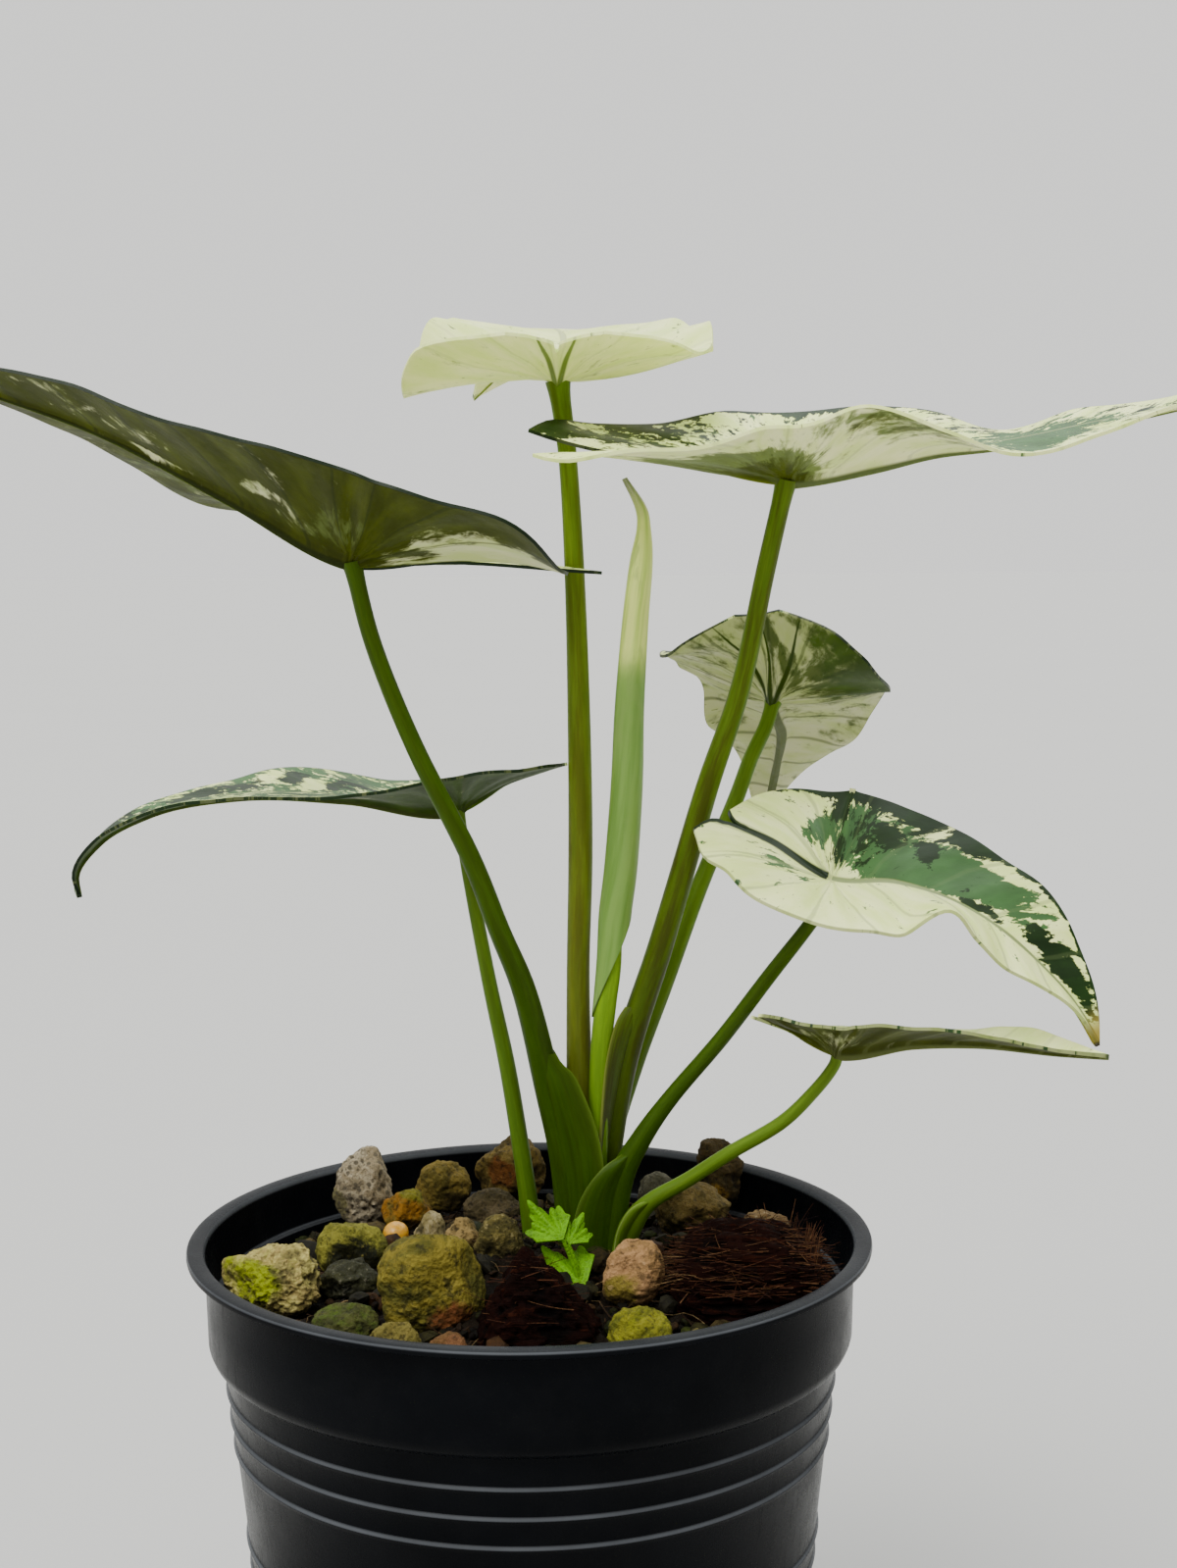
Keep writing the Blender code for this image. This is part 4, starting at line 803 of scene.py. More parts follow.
def make_groups():
    """The effects that several finishes share: torn patches, side veins, fine skin and dust."""
    number, colour, vector = "NodeSocketFloat", "NodeSocketColor", "NodeSocketVector"
    paint, given, made = new_group("Torn patch", (
        ("Flow", vector, None), ("Amount", number, 0.5), ("Seed", number, 0.0),
        ("Tear", number, 0.5), ("Soft", number, 0.04), ("Fine", number, 0.55)),
        (("Mask", number),))
    shift = paint.node("ShaderNodeCombineXYZ", {
        0: given["Seed"], 1: given["Seed"], 2: given["Seed"]}).outputs[0]
    place = paint.moved(given["Flow"], shift)
    wide = paint.noise(paint.scaled(place, (3.0, 1.8, 1)), 1.0, 3, 0.6, 0.5)
    fine = paint.noise(paint.scaled(place, (8.0, 5.0, 1)), 1.0, 5, 0.7, 0.4)
    torn = paint.plus(paint.minus(wide, 0.5), paint.times(paint.minus(fine, 0.5), given["Fine"]))
    spread = paint.times_plus(torn, paint.times(given["Tear"], 2.4), given["Amount"])
    paint.set(made.inputs["Mask"], paint.band(
        spread, paint.minus(0.5, given["Soft"]), paint.plus(0.5, given["Soft"])))

    paint, given, made = new_group("Side veins", (
        ("Flow", vector, None), ("Gap", number, 1.2), ("Width", number, 0.06)),
        (("Line", number), ("Swell", number)))
    across = paint.split_vector(given["Flow"])[0]
    wander = paint.times(paint.minus(paint.noise(given["Flow"], 0.8, 2), 0.5), 0.25)
    turns = paint.maths("DIVIDE", paint.plus(across, wander), given["Gap"])
    near = paint.maths("ABSOLUTE", paint.minus(paint.maths("FRACT", turns), 0.5))
    near = paint.times(near, given["Gap"])
    paint.set(made.inputs["Line"], paint.minus(1.0, paint.band(
        near, paint.times(given["Width"], 0.35), given["Width"])))
    paint.set(made.inputs["Swell"], paint.band(near, 0.0, paint.times(given["Gap"], 0.5)))

    paint, given, made = new_group("Fine skin", (
        ("Place", vector, None), ("Scale", number, 1.0), ("Low", number, 0.4),
        ("High", number, 0.6)), (("Roughness", number), ("Height", number)))
    coarse = paint.noise(given["Place"], given["Scale"], 3, 0.6)
    small = paint.noise(given["Place"], paint.times(given["Scale"], 7.0), 2, 0.6)
    both = paint.times_plus(small, 0.4, paint.times(coarse, 0.6))
    rough = paint.node("ShaderNodeMapRange", {
        "Value": both, "From Min": 0.3, "From Max": 0.7, "To Min": given["Low"],
        "To Max": given["High"]}).outputs["Result"]
    paint.set(made.inputs["Roughness"], rough)
    paint.set(made.inputs["Height"], both)

    paint, given, made = new_group("Settled dust", (
        ("Place", vector, None), ("Colour", colour, None), ("Dust colour", colour, None),
        ("Amount", number, 0.3)), (("Colour", colour), ("Mask", number)))
    upward = paint.upward()
    blotch = paint.noise(given["Place"], 160.0, 5, 0.65)
    mask = paint.times(paint.band(blotch, 0.42, 0.72), paint.band(upward, -0.4, 1.0, 0.25, 1.0))
    mask = paint.times(mask, given["Amount"])
    paint.set(made.inputs["Colour"], paint.mix(mask, given["Colour"], given["Dust colour"]))
    paint.set(made.inputs["Mask"], mask)


def finish_piece(piece, surfaces, nodes):
    """Gives a piece its finishes, hangs it on the body and hides the frame's parts that it stands
    for.
    """
    if list(piece.data.materials) != surfaces:
        piece.data.materials.clear()
        for surface in surfaces:
            piece.data.materials.append(surface)
    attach(piece, "root")
    if nodes:
        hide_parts(*nodes)
    deselect_all()


def pot_section():
    """The pot's section from the middle of the floor, up the inside, and down the outside."""
    height, edge, width = POT_HEIGHT, RIM_RADIUS, RIM_WIDTH
    skirt, fall, waist, base = SKIRT_RADIUS, SKIRT_DEPTH, BODY_TOP_RADIUS, BASE_RADIUS
    taper = (waist - base) / (height - fall)

    def body(depth):
        return waist - taper * (depth - fall)

    inside = [(0, POT_FLOOR), (15, POT_FLOOR), (base - 4, POT_FLOOR), (base - 2.0, POT_FLOOR),
              (base - 1.3, POT_FLOOR + 0.3), (base - POT_WALL, POT_FLOOR + 1.0), (44, 29),
              (46.6, 53), (waist - POT_WALL, height - fall - 2.5), (skirt - 2.9, height - 11.0),
              (skirt - 2.55, height - 9.0), (skirt - 2.3, height - 8.45),
              (skirt - 1.7, height - 8.15), (skirt - 1.45, height - 7.7),
              (edge - width - 0.25, height - 4.0), (edge - width, height - 1.1),
              (edge - width + 0.12, height - 0.5), (edge - width + 0.4, height - 0.15)]
    rim = [(edge - width + 0.9, height), (edge - 1.0, height), (edge - 0.5, height - 0.04),
           (edge - 0.18, height - 0.16), (edge - 0.03, height - 0.4), (edge, height - 0.8),
           (edge - 0.06, height - 1.12), (edge - 0.3, height - RIM_THICKNESS),
           (skirt + 0.5, height - RIM_THICKNESS - 0.08),
           (skirt + 0.12, height - RIM_THICKNESS - 0.3), (skirt, height - RIM_THICKNESS - 0.8),
           (skirt - 0.12, height - 8), (skirt - 0.28, height - fall + 0.7),
           (skirt - 0.42, height - fall + 0.15), (skirt - 0.8, height - fall - 0.7),
           (skirt - 1.4, height - fall - 1.5), (waist + 0.15, height - fall - 2.0),
           (waist - 0.1, height - fall - 2.7)]
    ribs = []
    for depth in RIB_DEPTHS:
        ribs += [(body(depth - 0.5), height - depth + 0.5),
                 (body(depth) + RIB_STEP * 0.75, height - depth + 0.12),
                 (body(depth) + RIB_STEP, height - depth - 0.1),
                 (body(depth) + RIB_STEP * 0.8, height - depth - 0.3),
                 (body(depth + RIB_HEIGHT), height - depth - RIB_HEIGHT)]
    foot = [(base + 0.2, 2.4), (base, 0.9), (base - 0.2, 0.35), (base - 0.7, 0.0),
            (base - 3.0, 0.0), (base - 3.5, 0.3), (30, 0.3), (18, 0.3), (0, 0.3)]
    return inside + rim + ribs + foot


def spun(name, section, steps):
    """A circle primitive laid out as a section from axis to axis and spun about Z."""
    deselect_all()
    bpy.ops.mesh.primitive_circle_add(vertices=len(section), radius=1, fill_type="NOTHING")
    made = bpy.context.object
    made.name = name
    set_points(made.data, [(r * MM, 0, z * MM) for r, z in section])

    def spin():
        bpy.ops.mesh.select_all(action="DESELECT")
        bpy.ops.object.mode_set(mode="OBJECT")
        ends = {0, len(section) - 1}
        for edge in made.data.edges:
            edge.select = set(edge.vertices) == ends
        bpy.ops.object.mode_set(mode="EDIT")
        bpy.ops.mesh.delete(type="EDGE_FACE")
        bpy.ops.mesh.select_all(action="SELECT")
        bpy.ops.mesh.spin(steps=steps, angle=math.tau, center=(0, 0, 0), axis=(0, 0, 1))
        bpy.ops.mesh.select_all(action="SELECT")
        bpy.ops.mesh.remove_doubles(threshold=2e-6)
        bpy.ops.mesh.normals_make_consistent(inside=False)

    edit(made, spin)
    return made


def cut_drains(pot):
    """Cuts a ring of round holes through the floor."""
    cutters = []
    for step in range(DRAIN_HOLES):
        angle = math.tau * step / DRAIN_HOLES
        deselect_all()
        bpy.ops.mesh.primitive_cylinder_add(
            vertices=32, radius=DRAIN_RADIUS * MM, depth=6 * MM,
            location=(DRAIN_CIRCLE * MM * math.cos(angle), DRAIN_CIRCLE * MM * math.sin(angle), 0))
        cutters.append(bpy.context.object)
    for cutter in cutters:
        cut = pot.modifiers.new("drain", "BOOLEAN")
        cut.operation = "DIFFERENCE"
        cut.solver = "EXACT"
        cut.object = cutter
    apply_modifiers(pot)
    for cutter in cutters:
        bpy.data.objects.remove(cutter, do_unlink=True)


def tube_points(path, radii, sides):
    """Rings of points round a path in millimetres, kept from twisting."""
    forward = unit(np.gradient(path, axis=0))
    aside = unit(np.cross(forward, (0, 1, 0.05)))
    other = np.cross(forward, aside)
    turn = np.linspace(0, math.tau, sides + 1)[None, :, None]
    radii = radii[:, None, None]
    return (path[:, None] + radii * np.cos(turn) * aside[:, None]
            + radii * np.sin(turn) * other[:, None])


def close_tube(target):
    """Welds a laid grid along its seam, fills its two ends and faces it outwards."""
    def steps():
        bpy.ops.mesh.remove_doubles(threshold=1e-6)
        bpy.ops.mesh.select_all(action="DESELECT")
        bpy.ops.mesh.select_non_manifold(extend=False)
        bpy.ops.mesh.fill_holes(sides=0)
        bpy.ops.mesh.select_all(action="SELECT")
        bpy.ops.mesh.normals_make_consistent(inside=False)

    edit(target, steps)


def blade_points(leaf):
    """Both halves of a blade: points in millimetres, and where each lies on the blade."""
    path = np.array(leaf.path, float)
    steps = np.linalg.norm(np.diff(path, axis=0), axis=1)
    along = np.concatenate([[0], np.cumsum(steps)])
    along -= along[leaf.junction]
    back, tip = along[0], along[-1]
    rear = max(3, round(STATIONS * -back / (tip - back)))
    stations = np.concatenate([np.linspace(back, 0, rear + 1),
                               np.linspace(0, tip, STATIONS - rear + 1)[1:]])
    share = (stations - back) / (tip - back)
    middle = smooth_curve(along, path, stations)
    forward = np.gradient(middle, stations, axis=0)
    weights = np.hanning(FRAME_SPAN + 2)[1:-1]
    padded = np.pad(forward, ((FRAME_SPAN // 2, FRAME_SPAN // 2), (0, 0)), mode="edge")
    forward = unit(np.stack([np.convolve(line, weights, "valid") for line in padded.T], 1))
    across = unit(np.cross(forward, (0, 0, 1)))
    upward = np.cross(across, forward)
    rearward = np.clip(stations / back, 0, 1)
    parted = np.clip((rearward - leaf.closed) / (1 - leaf.closed), 0, 1)
    inner = np.maximum(parted**leaf.slit_power * leaf.lobe_spread * leaf.half_width,
                       SLIT_HALF_WIDTH)
    inner = np.where((stations < -0.001) & (parted > 0.001), inner, 0.0)
    outer = smooth_curve(OUTLINE_PLACES, OUTLINE_WIDTHS, share) * leaf.half_width
    outer += ((leaf.lobe_spread - OUTLINE_WIDTHS[0]) * leaf.half_width
              * np.clip(rearward - 0.6, 0, 1) / 0.4)
    place = np.array(COLUMN_PLACES)
    halves = []
    for side, rises, bows in ((-1, leaf.rise_left, leaf.bow_left),
                              (1, leaf.rise_right, leaf.bow_right)):
        full = leaf.lobe_full[0 if side < 0 else 1] * np.exp(-((share - 0.07) / 0.06)**2)
        reach_out = np.maximum(outer + full, inner)
        distance = inner[:, None] + (reach_out - inner)[:, None] * place
        rise = np.radians(smooth_curve(np.linspace(0, 1, len(rises)), rises, share))[:, None]
        bow = np.radians(smooth_curve(np.linspace(0, 1, len(bows)), bows, share))[:, None]
        bend = bow * distance / leaf.half_width
        mean_angle = rise + bend / 2
        out = distance * np.cos(mean_angle) * np.sinc(bend / 2 / np.pi)
        up = distance * np.sin(mean_angle) * np.sinc(bend / 2 / np.pi)
        flow, reach = vein_flow(stations[:, None] + 0 * distance, distance, leaf.vein_gap)
        quilt = 0.22 * np.cos(math.tau * flow / leaf.vein_gap) * np.clip(distance / 8, 0, 1)
        quilt = quilt * np.clip((reach_out[:, None] - distance) / 6, 0.2, 1)
        height, spacing, *phases = leaf.ripple
        phase = phases[0 if side < 0 else 1]
        wave = np.sin(math.tau * stations / spacing + phase)[:, None]
        up = up + quilt + height * wave * (distance / leaf.half_width)**2
        scale = leaf.rear_scale[0 if side < 0 else 1]
        line = smooth_curve(along, path, np.where(stations < 0, stations * scale, stations))
        points = (line[:, None] + side * across[:, None] * out[:, :, None]
                  + upward[:, None] * up[:, :, None])
        halves.append((side, points, stations, share, distance, flow, reach))
    return halves, tip


def vein_flow(station, distance, gap):
    """Where points lie across the side veins, and how far along them."""
    lean = 0.62
    pinnate = station - lean * distance - 0.004 * distance**2
    turned = np.arctan2(distance, station) - math.atan2(1, lean)
    radial = -turned * gap / math.radians(26)
    fan = station < lean * distance
    flow = np.where(fan, np.where(turned > 0, radial, 0), pinnate)
    reach = np.where(fan, np.hypot(station, distance), distance * math.hypot(1, lean))
    return flow, reach


def growth(leaf_base, patches, share, across):
    """Dark, sea green and fleck amounts at places on a blade."""
    amounts = [np.full(share.shape, float(base)) for base in leaf_base]
    for place, side, reach_along, reach_across, kind, strength in patches:
        far = ((share - place) / reach_along)**2 + ((across - side) / reach_across)**2
        soft = strength * np.exp(-far**1.3)
        if kind == "c":
            amounts[0] -= soft
            amounts[1] -= soft
        else:
            amounts["dsf".index(kind)] += soft
    return np.clip(np.stack(amounts, axis=-1), -0.4, 1.4)


def build_blade(key, leaf, wall, surfaces):
    halves, tip = blade_points(leaf)
    made = []
    for side, points, stations, share, distance, flow, reach in halves:
        half, row, column = lay_grid(f"half_{key}", points)
        mesh = half.data
        for surface in surfaces:
            mesh.materials.append(surface)
        station = stations[row]
        offset = distance[row, column]
        across = side * np.array(COLUMN_PLACES)[column]
        write_uv(mesh, "blade", station, side * offset)
        lane = reach[row, column] + (0 if side < 0 else 400)
        write_uv(mesh, "veins", flow[row, column], lane)
        write_colour(mesh, "growth_top", growth(leaf.top, leaf.top_patches, share[row], across))
        write_colour(mesh, "growth_under",
                     growth(leaf.under, leaf.under_patches, share[row], across))
        last = len(COLUMN_PLACES) - 1
        edge = (column == last) | ((column == 0) & (offset > 0.2)) | (row == len(stations) - 1)
        edge = edge * leaf.margin_sides[0 if side < 0 else 1]
        ahead = np.clip(station / tip, 0, 1)
        rib_width = 1.0 * (1 - ahead) + 0.35
        rib = np.clip(1 - offset / rib_width, 0, 1) * (station > -0.5) * (1 - 0.75 * ahead)
        lobe_rib = np.clip(1 - offset / 1.4, 0, 1) * (station <= 0) * np.clip(1 + station / 9, 0, 1)
        slit = np.where(station < 0, offset - distance[row, 0], 9.0) / UV_UNIT
        write_colour(mesh, "edges", np.stack([edge, slit, ahead], 1))
        lean = math.radians(leaf.rib_lean)
        off_rib = -station * math.sin(lean) - offset * math.cos(lean)
        down_rib = -station * math.cos(lean) + offset * math.sin(lean)
        middle = np.where(station < 0, 9.0, offset)
        write_colour(mesh, "ribs", np.stack([off_rib, down_rib, middle], 1) / UV_UNIT)
        group = half.vertex_groups.new(name="wall")
        weights = np.clip(0.25 + 0.75 * np.maximum(rib, lobe_rib), 0, 1)
        for index, weight in enumerate(weights):
            group.add([index], float(weight), "REPLACE")
        if side > 0:
            edit(half, bpy.ops.mesh.flip_normals)
        made.append(half)
    blade = join(made, f"leaf_{key}")
    edit(blade, lambda: bpy.ops.mesh.remove_doubles(threshold=1e-6))
    shell = blade.modifiers.new("wall", "SOLIDIFY")
    shell.thickness = wall * RIB_THICKENING
    shell.offset = -1
    shell.vertex_group = "wall"
    shell.thickness_vertex_group = 0.02
    shell.material_offset = 1
    shell.material_offset_rim = 0
    apply_modifiers(blade)
    blade.vertex_groups.clear()
    smooth(blade, 50)
    return blade


def blade_finish(name, leaf, tints, under):
    """One face of a blade: cream, sea green and dark green torn along its veins."""
    paint = Finish(name)
    flow = paint.uv("veins")
    attribute = "growth_under" if under else "growth_top"
    dark_amount, sea_amount, fleck_amount = paint.split(paint.colour_of(attribute))
    edge, slit, ahead = paint.split(paint.colour_of("edges"))
    if under:
        # The underside's cream and sea green are scaled per blade as painted light
        cream = toned(tints.cream_under, leaf.pale)
        sea = toned(tints.sea_under, leaf.pale)
        dark = toned(tints.dark_under, leaf.depth_under)
        rib_colour = leaf.rib_under
    else:
        cream, sea = tuple(tints.cream), tuple(tints.sea)
        dark, rib_colour = tuple(tints.dark), leaf.rib_top
    soft, fine = (0.26, 0.5) if under else (0.06, 1.1)
    sea_mask, dark_mask = (
        paint.group("Torn patch", {"Flow": flow, "Amount": amount, "Seed": seed, "Tear": tear,
                                   "Soft": soft, "Fine": fine})["Mask"]
        for amount, seed, tear in ((sea_amount, 3.7, 0.75), (dark_amount, 11.3, 0.8)))
    fleck = paint.noise(paint.scaled(flow, (16.0, 4.0, 1)), 1.0, 2, 0.5, 0.2)
    fleck = paint.plus(fleck, paint.times(fleck_amount, 0.16))
    fleck = paint.band(fleck, 0.7, 0.76)
    cloud = paint.noise(paint.scaled(flow, (2.0, 0.8, 1)), 1.0, 4)
    cream_tint = toned(cream, (0.82, 0.9, 0.62))
    colour = paint.mix(paint.band(cloud, 0.35, 0.65), cream, cream_tint)
    sea_deep = toned(sea, 0.62)
    sea_colour = paint.mix(paint.band(cloud, 0.3, 0.7), sea, sea_deep)
    colour = paint.mix(sea_mask, colour, sea_colour)
    dark_light = toned(dark, 1.9)
    dark_colour = paint.mix(paint.band(cloud, 0.35, 0.75), dark, dark_light)
    colour = paint.mix(dark_mask, colour, dark_colour)
    colour = paint.mix(paint.times(fleck, 0.85), colour, dark_light)
    veins = paint.group("Side veins", {"Flow": flow, "Gap": leaf.vein_gap / UV_UNIT,
                                       "Width": 0.055})
    off_rib, down_rib, middle = paint.split(paint.colour_of("ribs"))
    half_middle = paint.band(ahead, 0.0, 0.9, 0.085, 0.03)
    beside = paint.band(middle, paint.times(half_middle, 0.5), half_middle)
    line = paint.times(veins["Line"], leaf.lines[under])
    line = paint.times(line, beside)
    if not under:
        bare = paint.minus(1.0, paint.maths("MAXIMUM", dark_mask, sea_mask))
        line = paint.times(line, paint.times_plus(bare, 0.8, 0.2))
    colour = paint.mix(line, colour, rib_colour)
    half_rib = paint.band(down_rib, 0.0, 2.2, 0.075, 0.02)
    lobe_line = paint.minus(1.0, paint.band(
        paint.maths("ABSOLUTE", off_rib), paint.times(half_rib, 0.4), half_rib))
    lobe_line = paint.times(lobe_line, paint.band(down_rib, 0.0, 0.05))
    lobe_line = paint.times(lobe_line, paint.band(down_rib, 2.6, 1.6))
    colour = paint.mix(paint.times(lobe_line, leaf.lobe_rib), colour, rib_colour)
    middle_line = paint.minus(1.0, beside)
    colour = paint.mix(paint.times(middle_line, leaf.middle[under]), colour, rib_colour)
    if leaf.sinus:
        # A dark green band along the slit between the lobes: the dark margin there, and partly
        # painted shade of the slit itself
        seam = paint.minus(1.0, paint.band(slit, 0.6 * leaf.sinus / UV_UNIT, leaf.sinus / UV_UNIT))
        colour = paint.mix(seam, colour, dark)
    if leaf.dry_tip:
        colour = paint.mix(paint.band(ahead, 0.88, 0.97), colour, (0.3, 0.24, 0.045))
        colour = paint.mix(paint.band(ahead, 0.98, 0.995), colour, (0.05, 0.03, 0.01))
    if leaf.margin:
        rim = paint.times(paint.band(edge, 0.15, 0.9), leaf.margin)
        colour = paint.mix(rim, colour, toned(dark, 0.7))
    skin = paint.group("Fine skin", {
        "Place": flow, "Scale": 6.0, "Low": 0.36 if not under else 0.46,
        "High": 0.5 if not under else 0.62})
    net = paint.cells(paint.scaled(flow, (5.0, 3.0, 1)), 1.0)
    swell = paint.times(veins["Swell"], beside)
    height = paint.times_plus(swell, 0.9, paint.times(net, 0.18))
    height = paint.times_plus(skin["Height"], 0.15, height)
    if under:
        height = paint.times(height, -1.0)
    return paint.shade(
        Base_Color=colour, Roughness=skin["Roughness"],
        Normal=paint.bump(height, 0.0004, 0.6), Subsurface_Weight=0.35 if under else 0.08,
        Subsurface_Radius=(0.7, 0.8, 0.3), Subsurface_Scale=0.002 if under else 0.001,
        Specular_IOR_Level=0.08 if under else 0.17)


def plastic_finish(colour):
    """Injection-moulded black plastic: satin, with scuffed gloss, dust, faint swirl lines and
    painted highlights on the rib lips and the rim.
    """
    paint = Finish("Black nursery plastic")
    place = paint.object_place()
    x, y, z = paint.split_vector(place)
    turn = paint.maths("ARCTAN2", y, x)
    around = paint.node("ShaderNodeCombineXYZ", {
        0: paint.times(turn, 0.05), 1: z, 2: 0.0}).outputs[0]
    scratch = paint.noise(paint.scaled(around, (900, 90, 1)), 1.0, 4, 0.7)
    skin = paint.group("Fine skin", {"Place": place, "Scale": 240.0, "Low": 0.2, "High": 0.32})
    blotch = paint.noise(place, 45.0, 4)
    colour_now = paint.mix(paint.band(blotch, 0.3, 0.7), colour, toned(colour, 1.7))
    dusty = paint.group("Settled dust", {
        "Place": place, "Colour": colour_now, "Dust colour": (0.05, 0.05, 0.045), "Amount": 0.06})
    rough = paint.plus(skin["Roughness"], paint.times(dusty["Mask"], 0.9))
    rough = paint.plus(rough, paint.times(paint.band(scratch, 0.55, 0.7), 0.1))
    height = paint.times_plus(scratch, 0.3, skin["Height"])
    upward = paint.upward()
    # Painted highlight: a thin light line where the ribs' upper lips face partly up
    rib_lip_highlight = paint.times(paint.band(upward, 0.4, 0.46), paint.band(upward, 0.5, 0.545, 1.0, 0.3))
    # Painted highlight along the rim's outer rounding, near the top and picked by the same facing
    at_rim = paint.band(z, (POT_HEIGHT - 1.5) * MM, (POT_HEIGHT - 1.1) * MM)
    edge = paint.times(at_rim, paint.band(upward, 0.15, 0.4))
    edge = paint.times(edge, paint.band(upward, 0.8, 0.95, 1.0, 0.1))
    painted_highlight = paint.maths("MAXIMUM", rib_lip_highlight, edge)
    painted_highlight = paint.times(painted_highlight, paint.band(blotch, 0.2, 0.8, 0.55, 1.0))
    # Both painted highlights take a pale blue-grey of uneven strength, which stands in for light
    # caught by the lips and the rim
    colour_now = paint.mix(painted_highlight, dusty["Colour"], (0.075, 0.081, 0.09))
    return paint.shade(Base_Color=colour_now, Roughness=rough, IOR=1.11,
                       Normal=paint.bump(height, 0.00008, 0.4))


def mix_finish(colour):
    """Damp, dark growing mix with lighter crumbs."""
    paint = Finish("Growing mix")
    place = paint.object_place()
    coarse = paint.noise(place, 220.0, 5, 0.65)
    fine = paint.noise(place, 1300.0, 3, 0.6)
    bits = paint.cells(place, 520.0)
    colour_now = paint.mix(paint.band(coarse, 0.3, 0.7), toned(colour, 0.45), toned(colour, 1.5))
    colour_now = paint.overlay(0.5, fine, 0.62, 0.75, colour_now, (0.03, 0.018, 0.007))
    height = paint.times_plus(bits, 0.8, fine)
    return paint.shade(Base_Color=colour_now, Specular_IOR_Level=0.1,
                       Roughness=paint.band(coarse, 0.3, 0.8, 0.62, 0.95),
                       Normal=paint.bump(height, 0.0008, 0.8))


def scatter_finish(name, rough_low, rough_high, grain):
    """Loose bits that carry their own colour each."""
    paint = Finish(name)
    place = paint.object_place()
    tone = paint.colour_of("tone")
    speck = paint.noise(place, grain, 4, 0.65)
    darker = paint.mix(1.0, tone, (0.35, 0.33, 0.3), "MULTIPLY")
    colour = paint.mix(paint.band(speck, 0.35, 0.65), darker, tone)
    return paint.shade(Base_Color=colour, Specular_IOR_Level=0.12,
                       Roughness=paint.band(speck, 0.3, 0.7, rough_low, rough_high),
                       Normal=paint.bump(speck, 0.0004, 0.7))


def stone_finish(name, stone):
    """Weathered stone: two body colours in patches, a third in specks, moss, and painted shade in
    its pores, hollows and undersides.
    """
    paint = Finish(name)
    place = paint.object_place()
    first, second, third = stone.colours
    hollow_shade, stained, _ = paint.split(paint.colour_of("relief"))
    wide = paint.noise(place, 190.0 * stone.grain, 6, 0.72, 0.5)
    fine = paint.noise(place, 950.0 * stone.grain, 5, 0.7)
    colour = paint.mix(paint.band(wide, 0.44, 0.58), first, second)
    if stone.stain:
        blot = paint.times_plus(paint.minus(wide, 0.5), 1.6, stained)
        colour = paint.mix(paint.band(blot, 0.28, 0.62), colour, stone.stain[2])
    grains = paint.cells(place, 1500.0)
    colour = paint.overlay(stone.specks, fine, 0.57, 0.66, colour, third)
    # A much darker body colour: dark specks of grime, and painted shade in the pores and under the
    # stone
    grime_and_shade = toned(second, 0.22)
    if stone.pits:
        pores = paint.cells(place, 780.0)
        # Painted shade: the pores are darkened as if shaded inside
        colour = paint.overlay(min(0.85, 0.6 * stone.pits), pores, 0.42, 0.26, colour, grime_and_shade)
    colour = paint.overlay(0.75, fine, 0.48, 0.36, colour, grime_and_shade)
    upward = paint.upward()
    # Painted shade: faces turned down are darkened
    colour = paint.overlay(0.7, upward, 0.1, -0.6, colour, grime_and_shade)
    tufts = paint.noise(place, 420.0, 5, 0.7)
    moss = paint.times(paint.band(tufts, 0.62 - 0.2 * stone.moss, 0.7),
                       paint.band(upward, -0.3, 0.7, 0.2, 1.0))
    if stone.moss:
        fuzz = paint.mix(paint.noise(place, 2600.0, 2), toned(third, 0.5), third)
        colour = paint.mix(paint.times(moss, min(1.0, stone.moss * 1.3)), colour, fuzz)
    # Painted shade: the low parts of the surface, read from the relief attribute, go nearly black
    colour = paint.overlay(0.9, hollow_shade, 0.62, 0.2, colour, toned(second, 0.1))
    smooth_part = 0.72 - 0.45 * stone.gloss
    rough = paint.band(wide, 0.3, 0.7, smooth_part, smooth_part + 0.18)
    height = paint.times_plus(fine, 0.8, paint.times(grains, 0.25))
    return paint.shade(Base_Color=colour, Roughness=rough, Specular_IOR_Level=0.2,
                       Normal=paint.bump(height, 0.001, 0.9))


def husk_finish(colour):
    """Coconut husk: dark, fibrous and matt, with paler strands and painted shade in its hollows."""
    paint = Finish("Coconut husk")
    place = paint.object_place()
    strand = paint.noise(paint.scaled(place, (90, 1100, 1100)), 1.0, 4, 0.65, 0.3)
    wide = paint.noise(place, 130.0, 4)
    hollow_shade = paint.split(paint.colour_of("relief"))[0]
    body = paint.mix(paint.band(wide, 0.35, 0.65), toned(colour, 0.5), colour)
    body = paint.overlay(0.6, strand, 0.55, 0.7, body, (0.036, 0.0095, 0.004))
    # Painted shade: the hollows between the ridges go nearly black
    body = paint.overlay(0.9, hollow_shade, 0.5, 0.2, body, (0.001, 0.0005, 0.0003))
    return paint.shade(Base_Color=body, Specular_IOR_Level=0.05,
                       Roughness=paint.band(strand, 0.3, 0.7, 0.78, 0.96),
                       Normal=paint.bump(strand, 0.0009, 0.9))


